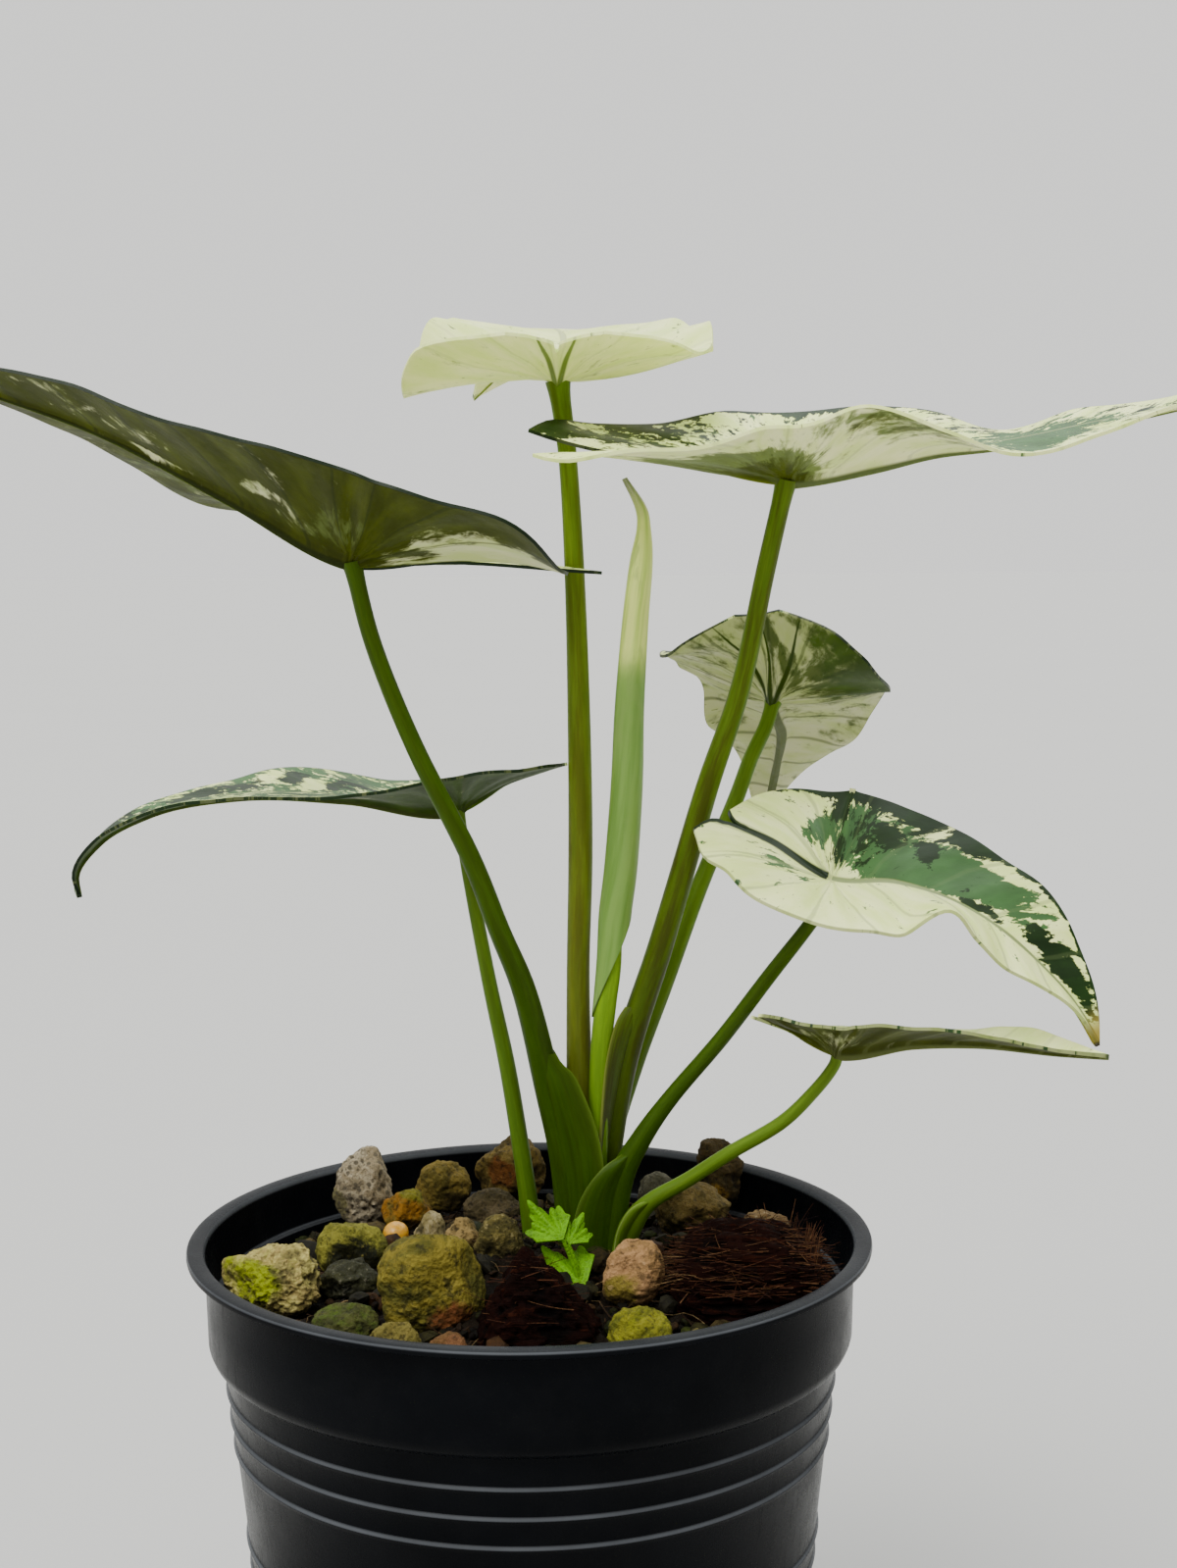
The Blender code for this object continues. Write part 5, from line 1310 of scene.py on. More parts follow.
def stem_finish(name, gloss):
    """Petiole skin: lengthwise streaks and olive-brown mottling over the stem's own tone."""
    paint = Finish(name)
    skin_place = paint.uv("length")
    tone = paint.colour_of("tone")
    mottle, edge, _ = paint.split(paint.colour_of("mottle"))
    streak = paint.noise(paint.scaled(skin_place, (9.0, 0.7, 1)), 1.0, 4, 0.6)
    spot = paint.noise(paint.scaled(skin_place, (5.0, 0.4, 1)), 1.0, 5, 0.65, 0.3)
    brown = paint.mix(1.0, tone, (0.75, 0.42, 0.6), "MULTIPLY")
    bright = paint.mix(1.0, tone, (1.35, 1.3, 1.2), "MULTIPLY")
    colour = paint.mix(paint.band(streak, 0.35, 0.68), tone, bright)
    share = paint.times(paint.band(spot, 0.42, 0.62), mottle)
    colour = paint.mix(share, colour, brown)
    thin = paint.mix(1.0, tone, (4.0, 2.8, 9.0), "MULTIPLY")
    colour = paint.mix(paint.times(edge, 0.7), colour, thin)
    skin = paint.group("Fine skin", {"Place": skin_place, "Scale": 5.0, "Low": gloss,
                                     "High": gloss + 0.14})
    height = paint.times_plus(streak, 0.8, skin["Height"])
    return paint.shade(Base_Color=colour, Roughness=skin["Roughness"],
                       Normal=paint.bump(height, 0.0002, 0.6), Subsurface_Weight=0.1,
                       Subsurface_Radius=(0.5, 0.8, 0.2), Subsurface_Scale=0.001,
                       Specular_IOR_Level=0.1)


def furled_finish():
    """The rolled blade: green low down, cream above, with fine veins along it."""
    paint = Finish("Furled blade")
    skin_place = paint.uv("length")
    tone = paint.colour_of("tone")
    ribs = paint.noise(paint.scaled(skin_place, (8.0, 0.35, 1)), 1.0, 3, 0.6)
    blot = paint.noise(paint.scaled(skin_place, (2.6, 0.7, 1)), 1.0, 4, 0.6, 0.4)
    deep = paint.mix(1.0, tone, (0.66, 0.78, 0.5), "MULTIPLY")
    colour = paint.mix(paint.band(ribs, 0.4, 0.66), tone, deep)
    colour = paint.overlay(0.45, blot, 0.55, 0.66, colour, (0.22, 0.34, 0.07))
    edge = paint.split(paint.colour_of("mottle"))[1]
    colour = paint.overlay(0.8, edge, 0.3, 1.0, colour, (0.07, 0.11, 0.02))
    skin = paint.group("Fine skin", {"Place": skin_place, "Scale": 5.0, "Low": 0.38, "High": 0.5})
    return paint.shade(Base_Color=colour, Roughness=skin["Roughness"],
                       Normal=paint.bump(ribs, 0.0003, 0.6), Subsurface_Weight=0.15,
                       Subsurface_Radius=(0.6, 0.8, 0.2), Subsurface_Scale=0.001)


def leaflet_finish(colour):
    """Soft, bright seedling leaflets with a fine net of veins."""
    paint = Finish("Seedling leaf")
    place = paint.object_place()
    cloud = paint.noise(place, 420.0, 4)
    net = paint.cells(place, 1500.0, "DISTANCE_TO_EDGE")
    body = paint.mix(paint.band(cloud, 0.3, 0.7), toned(colour, 0.62), colour)
    body = paint.overlay(0.4, net, 0.12, 0.0, body, toned(colour, 1.5))
    return paint.shade(Base_Color=body, Roughness=paint.band(cloud, 0.3, 0.7, 0.42, 0.6),
                       Specular_IOR_Level=0.12,
                       Normal=paint.bump(net, 0.0003, 0.7), Subsurface_Weight=0.1,
                       Subsurface_Radius=(0.4, 0.8, 0.1), Subsurface_Scale=0.001)


def bead_finish(colour):
    """A resin-coated grain: smooth, slightly dimpled, deeper at one side."""
    paint = Finish("Fertiliser grain")
    place = paint.object_place()
    cloud = paint.noise(place, 380.0, 3)
    dimple = paint.noise(place, 1500.0, 3)
    body = paint.mix(paint.band(cloud, 0.3, 0.7), toned(colour, 0.6), colour)
    return paint.shade(Base_Color=body, Roughness=paint.band(dimple, 0.3, 0.7, 0.24, 0.42),
                       Normal=paint.bump(dimple, 0.0003, 0.5), Subsurface_Weight=0.2,
                       Subsurface_Radius=(0.8, 0.4, 0.1), Subsurface_Scale=0.0012)


def write_tones(mesh, low_tone, high_tone, height_share, mottle, edge=None):
    """The stem's own colour from foot to top, with its mottling and free edge."""
    share = np.asarray(height_share, float)[:, None]
    tones = np.asarray(low_tone) * (1 - share) + np.asarray(high_tone) * share
    write_colour(mesh, "tone", tones)
    edge = np.zeros(len(share)) if edge is None else edge
    write_colour(mesh, "mottle", np.stack([np.full(len(share), mottle), edge, edge], 1))


def build_petiole(key, stem):
    """A petiole as one smooth tube from inside the crown to its blade, flared where it joins."""
    rings, sides = 64, 24
    path, radii = drawn(stem.path, rings), drawn(stem.radii, rings)
    if key != "furled":
        last = len(stem.path) - 1
        flare = np.clip((np.linspace(0, last, rings) - last + 0.35) / 0.35, 0, 1)**2
        radii = radii * (1 + 0.22 * flare)
    points = tube_points(path, radii, sides)
    made, row, column = lay_grid(f"stem_{key}", points)
    length = np.concatenate([[0], np.cumsum(np.linalg.norm(np.diff(path, axis=0), axis=1))])
    turn = column / sides * math.tau * 1.8
    write_uv(made.data, "length", turn, length[row])
    write_tones(made.data, stem.low_tone, stem.high_tone, row / (rings - 1), stem.mottle)
    close_tube(made)
    smooth(made, 60)
    return made


def build_wing(number, key, way, bulge, free_edge):
    """One sheath wing, from its petiole round the bundle to its free edge."""
    stem = STEMS[key]
    samples, rows, columns = 300, 30, 12
    last = len(stem.path) - 1
    fine = np.linspace(0, last, samples)
    path, radii = drawn(stem.path, samples), drawn(stem.radii, samples)
    margin = drawn(free_edge, rows)
    points = np.zeros((rows, columns, 3))
    shares = np.zeros(rows)
    for row, free in enumerate(margin):
        centre = np.array([np.interp(free[2], path[:, 2], path[:, axis]) for axis in range(3)])
        centre[2] = free[2]
        radius = np.interp(free[2], path[:, 2], radii)
        across = free - centre
        out = np.array([0.0, way, 0.0])
        shares[row] = np.interp(free[2], path[:, 2], fine) / last
        sunk = 0.55 + 0.4 * min(1.0, row / 8)
        start = centre + radius * sunk * (0.9 * out + 0.1 * across / np.linalg.norm(across))
        reach = np.linalg.norm(free - start)
        for column in range(columns):
            share = column / (columns - 1)
            arch = math.sin(math.pi * share) * min(bulge, 0.35 * reach)
            points[row, column] = start + (free - start) * share + out * arch
    made, row, column = lay_grid(f"wing_{number}", points)
    share = column / (columns - 1)
    write_uv(made.data, "length", share * 8, points[row, column, 2])
    write_tones(made.data, stem.low_tone, stem.high_tone, shares[row], stem.mottle, share**14)
    if way < 0:
        edit(made, bpy.ops.mesh.flip_normals)
    thicken(made, 0.42)
    face_outwards(made)
    return made


def build_corm():
    """The corm: a circle primitive spun from its section, swollen and roughened."""
    section = [(0, 90.6), (3.5, 90.4), (5.6, 89.6), (6.6, 88.4), (6.8, 86.5), (6.3, 83),
               (5.6, 78), (4.6, 74.2), (3.0, 73.4), (0, 73.2)]
    corm = spun("corm", section, 40)
    points = points_of(corm.data) / MM
    lumps = 1 + 0.06 * fractal(points, 3.0, 3, 2.0)
    points[:, :2] *= lumps[:, None]
    points[:, 0] += CROWN_CENTRE[0]
    points[:, 1] += CROWN_CENTRE[1]
    set_points(corm.data, points * MM)
    clear_generated(corm.data)
    write_uv(corm.data, "length", points[:, 0], points[:, 2])
    tone = np.clip((points[:, 2] - 80) / 10, 0, 1)
    write_tones(corm.data, (0.1, 0.07, 0.03), (0.11, 0.14, 0.03), tone, 0.5)
    return corm


def build_furled():
    """The rolled blade: a spiral section drawn up its path, with a slanting lower edge."""
    samples, rows, columns = 200, 90, 60
    fine = np.linspace(0, len(FURLED_PATH) - 1, samples)
    path, radii = drawn(FURLED_PATH, samples), drawn(FURLED_RADII, samples)
    turns = np.linspace(0, math.tau * 1.42, columns)
    points = np.zeros((rows, columns, 3))
    height = np.zeros((rows, columns))
    for column, turn in enumerate(turns):
        heading = turn + math.radians(250)
        facing = 0.5 - 0.5 * math.cos(heading - math.radians(20))
        low = 145.5 - 16.5 * facing
        start = np.interp(low, path[:, 2], fine)
        chosen = start + (fine[-1] - start) * np.linspace(0, 1, rows)
        wind = 0.8 + 0.26 * column / (columns - 1)
        for row, place in enumerate(chosen):
            centre = [np.interp(place, fine, path[:, axis]) for axis in range(3)]
            radius = np.interp(place, fine, radii) * wind
            turned = heading + 0.022 * (centre[2] - 150)
            points[row, column] = (centre[0] + radius * math.cos(turned),
                                   centre[1] + radius * math.sin(turned), centre[2])
            height[row, column] = centre[2]
    made, row, column = lay_grid("leaf_furled", points)
    turn = column / (columns - 1) * 18
    high = height[row, column]
    write_uv(made.data, "length", turn, high)
    share = 1 / (1 + np.exp(-(high - 186.5) / 0.8))
    low_tone, high_tone = np.array((0.2, 0.36, 0.055)), np.array((0.72, 0.82, 0.2))
    tones = low_tone * (1 - share[:, None]) + high_tone * share[:, None]
    tip = np.clip((high - 209) / 6, 0, 1)[:, None]
    tones = tones * (1 - tip) + np.array((0.3, 0.3, 0.22)) * tip
    write_colour(made.data, "tone", tones)
    edge = np.where((column == columns - 1) | (row == 0), 1.0, 0.0)
    write_colour(made.data, "mottle", np.stack([0 * edge, edge, edge], 1))
    thicken(made, 0.35)
    face_outwards(made)
    smooth(made, 50)
    return made


def toward(outward, direction, reach):
    """How near directions lie to one direction, from 1 there down to 0."""
    aim = np.array(direction) / np.linalg.norm(direction)
    return np.exp(-((outward - aim)**2).sum(1) / reach**2)


def build_stone(name, stone):
    """A stone from a sphere primitive: struck flats, weathering and pits."""
    chips = random.Random(name)
    flats = []
    for count, *depths in STONE_FLATS:
        for _ in range(count):
            direction = Vector([chips.gauss(0, 1) for _ in range(3)]).normalized()
            flats.append((np.array(direction), chips.uniform(*depths)))
    made = new_primitive(f"{name}_piece", bpy.ops.mesh.primitive_ico_sphere_add,
                         subdivisions=stone.detail, radius=1)
    ball = points_of(made.data)
    for direction, depth in flats:
        over = ball @ direction - depth
        soft = 0.035 * np.logaddexp(0, over / 0.035)
        ball = ball - direction * soft[:, None]
    ball *= 0.99 / np.abs(ball).max(axis=0)
    size = min(stone.half_sizes)
    seed = sum(map(ord, name)) % 97
    points = ball * np.array(stone.half_sizes)
    outward = unit(points)
    rough = fractal(points, 0.9 * size, 4, seed) * 0.12 * size
    knobs = np.abs(fractal(points, 0.5 * size, 4, seed + 1)) - 0.35
    grit = fractal(points, 0.9, 4, seed + 3) * 0.16
    height = (rough + knobs * 0.09 * size) * (0.5 + stone.relief) + grit
    if stone.pits:
        for scale, share in ((1.5, 0.6), (0.8, 0.35)):
            pit = np.clip(1 - cells(points, scale, seed) / 0.36, 0, 1)
            height = height - stone.pits * share * pit
    height = np.minimum(height - np.percentile(height, 88), 0.3)
    # relief: how far a point lies down in the surface, from which the finish paints shade into the
    # hollows
    relief = np.clip(0.85 + height / (0.35 * size), 0, 1)
    for direction, reach, push in stone.lumps:
        height = height + push * toward(outward, direction, reach)
    stained = toward(outward, *stone.stain[:2]) if stone.stain else 0 * height
    points = points + outward * height[:, None]
    set_points(made.data, placed(points, stone.turn, stone.centre) * MM)
    write_colour(made.data, "relief", np.stack([relief, stained, relief], 1))
    smooth(made, 60)
    return made


def husk_form(ball, peak):
    """Narrows a block towards its top by its share of peak."""
    rise = np.clip((ball[:, 2] + 0.25) / 1.25, 0, 1)
    x = ball[:, 0] * (1 - peak * rise) - 0.24 * peak * rise
    return np.stack([x, ball[:, 1] * (1 - 0.6 * peak * rise), ball[:, 2] + 0.35 * peak * rise], 1)


def build_husk(name, centre, half_sizes, turn, peak, run):
    """A block of husk from a cube primitive, subdivided and torn into ridges of fibre."""
    made = new_primitive(f"{name}_piece", bpy.ops.mesh.primitive_cube_add, size=2)
    edit(made, lambda: bpy.ops.mesh.subdivide(number_cuts=44))
    cube = points_of(made.data)
    reach = (np.abs(cube)**HUSK_ROUNDNESS).sum(1)**(1 / HUSK_ROUNDNESS)
    ball = cube / reach[:, None]
    x, y, z = ball.T
    wear = 0.06 * np.sin(3.1 * x + 2 * z) * np.cos(2.3 * y)
    sizes = np.array(half_sizes)[None] * (1 + wear[:, None]) * 0.97
    points = husk_form(ball, peak) * sizes
    seed = 3 if name.endswith("front") else 8
    stretched = points * np.array((run, 1.0, 1.0))
    ridge = fractal(stretched, 1.0, 5, seed)
    ragged = fractal(points, 4.0, 4, seed + 5)
    height = 0.95 * ridge + 0.9 * ragged
    height = np.minimum(height, 0.6)
    outward = unit(points)
    points = points + outward * height[:, None]
    set_points(made.data, placed(points, turn, centre) * MM)
    # relief: how far a point lies down between the ridges, from which the finish paints shade into
    # the hollows
    relief = np.clip(0.5 + height / 2.2, 0, 1)
    write_colour(made.data, "relief", np.stack([relief] * 3, 1))
    smooth(made, 70)
    return made


def strand_mesh(name, strands):
    """Thin three-sided fibres joined in one mesh. Each is its points, radius and tone."""
    corners, faces, tones = [], [], []
    for points, radius, tone in strands:
        points = np.asarray(points, float)
        forward = unit(np.gradient(points, axis=0))
        aside = np.cross(forward, (0.3, 0.2, 0.93))
        aside /= np.linalg.norm(aside, axis=1)[:, None] + 1e-9
        other = np.cross(forward, aside)
        first = len(corners)
        for step, point in enumerate(points):
            taper = radius * (1 - 0.6 * step / (len(points) - 1))
            for turn in range(3):
                angle = math.tau * turn / 3
                corners.append(point + taper * (math.cos(angle) * aside[step]
                                                + math.sin(angle) * other[step]))
                tones.append(tone)
        for step in range(len(points) - 1):
            for turn in range(3):
                a = first + step * 3 + turn
                b = first + step * 3 + (turn + 1) % 3
                faces.append((a, b, b + 3, a + 3))
        last = first + 3 * (len(points) - 1)
        faces.append((first + 2, first + 1, first))
        faces.append((last, last + 1, last + 2))
    made = new_piece(name, np.array(corners), faces)
    write_colour(made.data, "tone", tones)
    face_outwards(made)
    return made


def husk_fibres(name, centre, half_sizes, peak, count, ends, seed):
    """Fibres lying along a husk block, upright bristles at its right, straws at its left."""
    pick = random.Random(seed)
    half = np.array(half_sizes)
    dark = ((0.028, 0.008, 0.003), (0.014, 0.0035, 0.0014), (0.07, 0.024, 0.009),
            (0.045, 0.015, 0.006), (0.12, 0.055, 0.022))
    straw = ((0.2, 0.12, 0.05), (0.12, 0.06, 0.025), (0.07, 0.03, 0.012))
    kinds = ((count, (1.0, 0.13, 0.08), (2.5, 8.5), (0.0, 0.05), dark, None),
             (ends, (0.22, 0.18, 1.0), (2.0, 4.6), (0.0, 0.2), dark[2:], (0.95, 0.0, 0.45)),
             (ends // 4, (-1.0, 0.08, -0.14), (4.0, 8.5), (0.0, 0.2), straw, (-0.9, -0.5, 0.2)))
    strands = []
    for number, lie, lengths, lifts, tones, spot in kinds:
        for _ in range(number):
            heading = np.array([pick.gauss(0, 1), pick.gauss(-0.3, 1), abs(pick.gauss(0, 0.8))])
            if spot:
                heading = np.array(spot) + np.array([pick.gauss(0, 0.12), pick.gauss(0, 0.4),
                                                     pick.gauss(0, 0.25)])
            reach = (np.abs(heading)**HUSK_ROUNDNESS).sum()**(1 / HUSK_ROUNDNESS)
            ball = heading / reach
            root = husk_form(ball[None], peak)[0] * half * 0.97
            along = np.array([pick.gauss(0, 1) * part for part in lie])
            if spot:
                along = np.array(lie) + np.array([pick.gauss(0, 0.16) for _ in range(3)])
            along /= np.linalg.norm(along)
            lift = heading / np.linalg.norm(heading) * pick.uniform(*lifts)
            reach = pick.uniform(*lengths)
            bend = np.array([pick.gauss(0, 0.12) for _ in range(3)])
            start = 0.0 if spot else 0.4
            points = []
            for step in range(5):
                share = step / 4
                points.append(root + along * reach * (share - start)
                              + (lift + bend * share) * reach * share)
            strands.append((np.array(points) + np.array(centre), pick.uniform(0.05, 0.12),
                            pick.choice(tones)))
    return strand_mesh(name, strands)


def build_mix():
    """The heap of mix: a grid primitive rounded to the pot, heaped and roughened, and closed."""
    count = 190
    made = new_primitive("mix_heap", bpy.ops.mesh.primitive_grid_add, x_subdivisions=count,
                         y_subdivisions=count, size=2)
    flat = points_of(made.data)
    x, y = flat[:, 0], flat[:, 1]
    disc = np.stack([x * np.sqrt(1 - y**2 / 2), y * np.sqrt(1 - x**2 / 2)], 1)
    place = disc * MIX_RADIUS
    far = np.hypot(place[:, 0], place[:, 1])
    height = mix_height(place[:, 0], place[:, 1])
    flat3 = np.stack([place[:, 0], place[:, 1], 0 * far], 1)
    lumps = fractal(flat3, 5.0, 5, 1.5) * 1.1
    granules = (0.45 - cells(flat3, 2.1, 4.0)) * 1.3 + (0.45 - cells(flat3, 1.0, 6.0)) * 0.6
    edge = np.clip((MIX_RADIUS - far) / 3, 0, 1)
    height = height + lumps * (0.4 + 0.6 * edge) + granules * (0.3 + 0.7 * edge)
    set_points(made.data, np.stack([place[:, 0], place[:, 1], height], 1) * MM)

    def steps():
        bpy.ops.mesh.select_all(action="DESELECT")
        bpy.ops.mesh.select_non_manifold(extend=False)
        for drop, shrink in ((MIX_SHOULDER_DROP, MIX_SHOULDER_RADIUS / MIX_RADIUS),
                             (MIX_FOOT_DROP, MIX_FOOT_RADIUS / MIX_SHOULDER_RADIUS)):
            bpy.ops.mesh.extrude_region_move(TRANSFORM_OT_translate={"value": (0, 0, -drop * MM)})
            bpy.ops.transform.resize(value=(shrink, shrink, 1.0), center_override=(0, 0, 0))
        bpy.ops.mesh.edge_face_add()

    edit(made, steps)
    points = points_of(made.data)
    low = points[:, 2] < 20 * MM
    points[low, 2] = MIX_BOTTOM * MM
    set_points(made.data, points)
    face_outwards(made)
    smooth(made, 75)
    return made


def clear_of_things(x, y, margin):
    """True where no named stone or husk block stands."""
    for stone in STONES.values():
        if math.hypot(x - stone.centre[0], y - stone.centre[1]) < max(stone.half_sizes[:2]) + margin:
            return False
    for centre, half, *_ in HUSKS.values():
        if abs(x - centre[0]) < half[0] + margin and abs(y - centre[1]) < half[1] + margin:
            return False
    return math.hypot(x - CROWN_CENTRE[0], y - CROWN_CENTRE[1]) > CROWN_RADIUS + margin


def scattered(name, count, seed, sizes, tones, squash, sink, avoid):
    """Many small bits of one shape, each with its own size, turn and tone, as one mesh."""
    deselect_all()
    bpy.ops.mesh.primitive_ico_sphere_add(subdivisions=2, radius=1)
    first = bpy.context.object
    base = points_of(first.data)
    triangles = np.array([list(face.vertices) for face in first.data.polygons])
    bpy.data.objects.remove(first, do_unlink=True)
    pick = random.Random(seed)
    corners, faces, colours = [], [], []
    laid = 0
    while laid < count:
        angle, share = pick.uniform(0, math.tau), math.sqrt(pick.random())
        x = MIX_SHOULDER_RADIUS * share * math.cos(angle)
        y = MIX_SHOULDER_RADIUS * share * math.sin(angle)
        size = pick.uniform(*sizes)
        if not clear_of_things(x, y, avoid + 0.5 * size) and pick.random() < 0.93:
            continue
        if math.hypot(x, y) > GRAIN_LIMIT - size:
            continue
        laid += 1
        turn = Matrix.Rotation(pick.uniform(0, math.tau), 3, "Z") @ Matrix.Rotation(
            pick.uniform(-0.6, 0.6), 3, "X") @ Matrix.Rotation(pick.uniform(-0.6, 0.6), 3, "Y")
        stretch = np.array((pick.uniform(0.8, 1.3), pick.uniform(0.6, 1.0),
                            pick.uniform(*squash))) * size
        offset = np.array([pick.uniform(0, 50) for _ in range(3)])
        wobble = np.array([noise.noise(Vector(p * 1.3 + offset)) for p in base])
        shape = base * (1 + 0.35 * wobble[:, None]) * stretch
        shape = shape @ np.array(turn).T
        z = mix_height(x, y) + size * (1 - sink) * 0.9
        corners.append(shape + (x, y, z))
        faces.append(triangles + len(base) * (laid - 1))
        tone = np.array(pick.choice(tones)) * pick.uniform(0.7, 1.25)
        colours.append(np.repeat(tone[None], len(base), axis=0))
    made = new_piece(name, np.concatenate(corners), np.concatenate(faces).tolist())
    write_colour(made.data, "tone", np.concatenate(colours))
    smooth(made, 24)
    return made


def build_mix_fibres():
    """Roots, bark slivers and stray husk fibres lying on the mix."""
    pick = random.Random(41)
    strands = []
    while len(strands) < 240:
        angle, share = pick.uniform(0, math.tau), math.sqrt(pick.random())
        x, y = 45 * share * math.cos(angle), 45 * share * math.sin(angle)
        if not clear_of_things(x, y, -0.5) and pick.random() < 0.85:
            continue
        heading = pick.uniform(0, math.tau)
        length = pick.uniform(2.5, 9.0)
        bend = pick.uniform(-0.8, 0.8)
        points = []
        for step in range(6):
            t = step / 5
            turned = heading + bend * t
            px = x + math.cos(turned) * length * t
            py = y + math.sin(turned) * length * t
            lift = 0.8 + pick.uniform(0.0, 0.5) + 0.9 * math.sin(math.pi * t) * pick.random()
            points.append((px, py, mix_height(px, py) + lift))
        if math.hypot(points[-1][0], points[-1][1]) > FIBRE_LIMIT:
            continue
        tone = pick.choice(((0.05, 0.028, 0.01), (0.018, 0.008, 0.003), (0.03, 0.015, 0.005),
                            (0.14, 0.095, 0.04)))
        strands.append((points, pick.uniform(0.07, 0.2), tone))
    return strand_mesh("mix_fibres", strands)


def build_leaflet(junction, heading, reach, wide):
    """One fan of lobes, cupped and waved, from a grid primitive drawn together at its foot."""
    rings, spokes = 12, 90
    angle = np.linspace(-1.45, 1.45, spokes)
    lobes = 0.79 + 0.14 * np.cos(5.4 * angle) + 0.05 * np.cos(17 * angle)
    share = np.linspace(0.0, 1.0, rings)[:, None]
    along = share * reach * lobes * np.cos(angle * 0.86)
    across = share * reach * wide * lobes * np.sin(angle * 0.86)
    cup = 0.1 * np.abs(across) + 0.07 * reach * share**2 * np.cos(8.4 * angle)
    cup -= 0.1 * reach * share**2
    facing = np.array((0.1, -0.78, 0.62))
    facing /= np.linalg.norm(facing)
    axis = np.array((math.cos(math.radians(heading)), 0.0, math.sin(math.radians(heading))))
    axis -= facing * (axis @ facing)
    axis /= np.linalg.norm(axis)
    side = np.cross(facing, axis)
    points = (np.array(junction) + along[..., None] * axis + across[..., None] * side
              + cup[..., None] * facing)
    made, _, _ = lay_grid("leaflet", points)
    edit(made, lambda: bpy.ops.mesh.remove_doubles(threshold=1e-6))
    thicken(made, 0.3, 0)
    return made


def pale_floor(colour):
    """A wide floor with faint clouds in its tone."""
    deselect_all()
    bpy.ops.mesh.primitive_plane_add(size=FLOOR_SIZE, location=(0, 0, -FLOOR_DROP))
    floor = bpy.context.object
    floor.name = "floor"
    paint = Finish("Pale floor")
    cloud = paint.noise(paint.object_place(), 3.0, 3)
    tone = paint.mix(cloud, colour, toned(colour, 0.96))
    floor.data.materials.append(paint.shade(Base_Color=tone, Roughness=0.7))


def studio_sky(scene, backdrop):
    """Light from all round, strongest from above, with an even backdrop for the camera alone."""
    scene.world = scene.world or bpy.data.worlds.new("Studio")
    scene.world.use_nodes = True
    back = scene.world.node_tree.nodes["Background"]
    back.inputs["Color"].default_value = (1.0, 1.0, 0.975, 1.0)
    sky = Finish("Sky", scene.world.node_tree)
    _, depth, upward = sky.split_vector(sky.node("ShaderNodeTexCoord").outputs["Generated"])
    glow = sky.band(upward, -0.1, 0.9, sky.band(depth, -1.0, 1.0, 0.2, 0.7), 1.2)
    seen = sky.node("ShaderNodeLightPath").outputs["Is Camera Ray"]
    beyond = sky.minus(backdrop, glow)
    sky.set(back.inputs["Strength"], sky.times_plus(seen, beyond, glow))


def soft_sun(name, place, spread, power, colour):
    """A distant light that shines from a place's side; its spread in degrees softens it."""
    light = bpy.data.lights.new(name, "SUN")
    light.angle = math.radians(spread)
    light.energy = power
    light.color = colour
    made = bpy.data.objects.new(name, light)
    made.rotation_euler = (-Vector(place)).to_track_quat("-Z", "Y").to_euler()
    bpy.context.scene.collection.objects.link(made)
    return made


def stand_camera(scene):
    """The camera in front of the pot, level with the upper blades and looking slightly down."""
    camera = bpy.data.cameras.new("camera")
    camera.sensor_width = CAMERA_SENSOR
    camera.lens = CAMERA_LENS
    camera.clip_start = 0.01
    made = bpy.data.objects.new("camera", camera)
    scene.collection.objects.link(made)
    made.matrix_world = (Matrix.Translation(CAMERA_PLACE)
                         @ Matrix.Rotation(math.radians(90 - CAMERA_PITCH), 4, "X")
                         @ Matrix.Rotation(math.radians(-CAMERA_ROLL), 4, "Z"))
    scene.camera = made


def length(name, description, default):
    return bpy.props.FloatProperty(name=name, description=description, default=default,
                                   unit="LENGTH", min=0.0)


def tint(name, description, default):
    return bpy.props.FloatVectorProperty(name=name, description=description, default=default,
                                         size=3, subtype="COLOR", min=0.0, max=1.0)


class PotSettings(bpy.types.PropertyGroup):
    steps: bpy.props.IntProperty(name="Steps", description="Faces round the pot", default=160,
                                 min=24, max=400)
    plastic: tint("Plastic", "Colour of the pot's plastic", (0.0016, 0.0019, 0.0026))


class GroundSettings(bpy.types.PropertyGroup):
    mix: tint("Mix", "Colour of the growing mix", (0.005, 0.003, 0.0012))
    husk: tint("Husk", "Colour of the coconut husk", (0.0075, 0.0016, 0.0008))
    bead: tint("Grain", "Colour of the fertiliser grain", (0.74, 0.37, 0.018))
    crumbs: bpy.props.IntProperty(name="Crumbs", description="Loose crumbs on the mix",
                                  default=1300, min=0, max=4000)
    pebbles: bpy.props.IntProperty(name="Pebbles", description="Small grit among the stones",
                                   default=150, min=0, max=1000)


class LeafSettings(bpy.types.PropertyGroup):
    wall: length("Wall", "Thickness of a blade between its veins", 0.0005)
    cream: tint("Cream", "Cream of the upper face", (0.86, 0.93, 0.42))
    sea: tint("Sea green", "Paler green of the upper face", (0.055, 0.145, 0.04))
    dark: tint("Dark green", "Darkest green of the upper face", (0.0055, 0.018, 0.0022))
    cream_under: tint("Cream below", "Cream of the underside", (0.8, 0.8, 0.48))
    sea_under: tint("Sea green below", "Paler green of the underside", (0.17, 0.22, 0.05))
    dark_under: tint("Dark green below", "Darkest green of the underside", (0.038, 0.046, 0.002))
    seedling: tint("Seedling", "Green of the seedling", (0.11, 0.29, 0.0005))


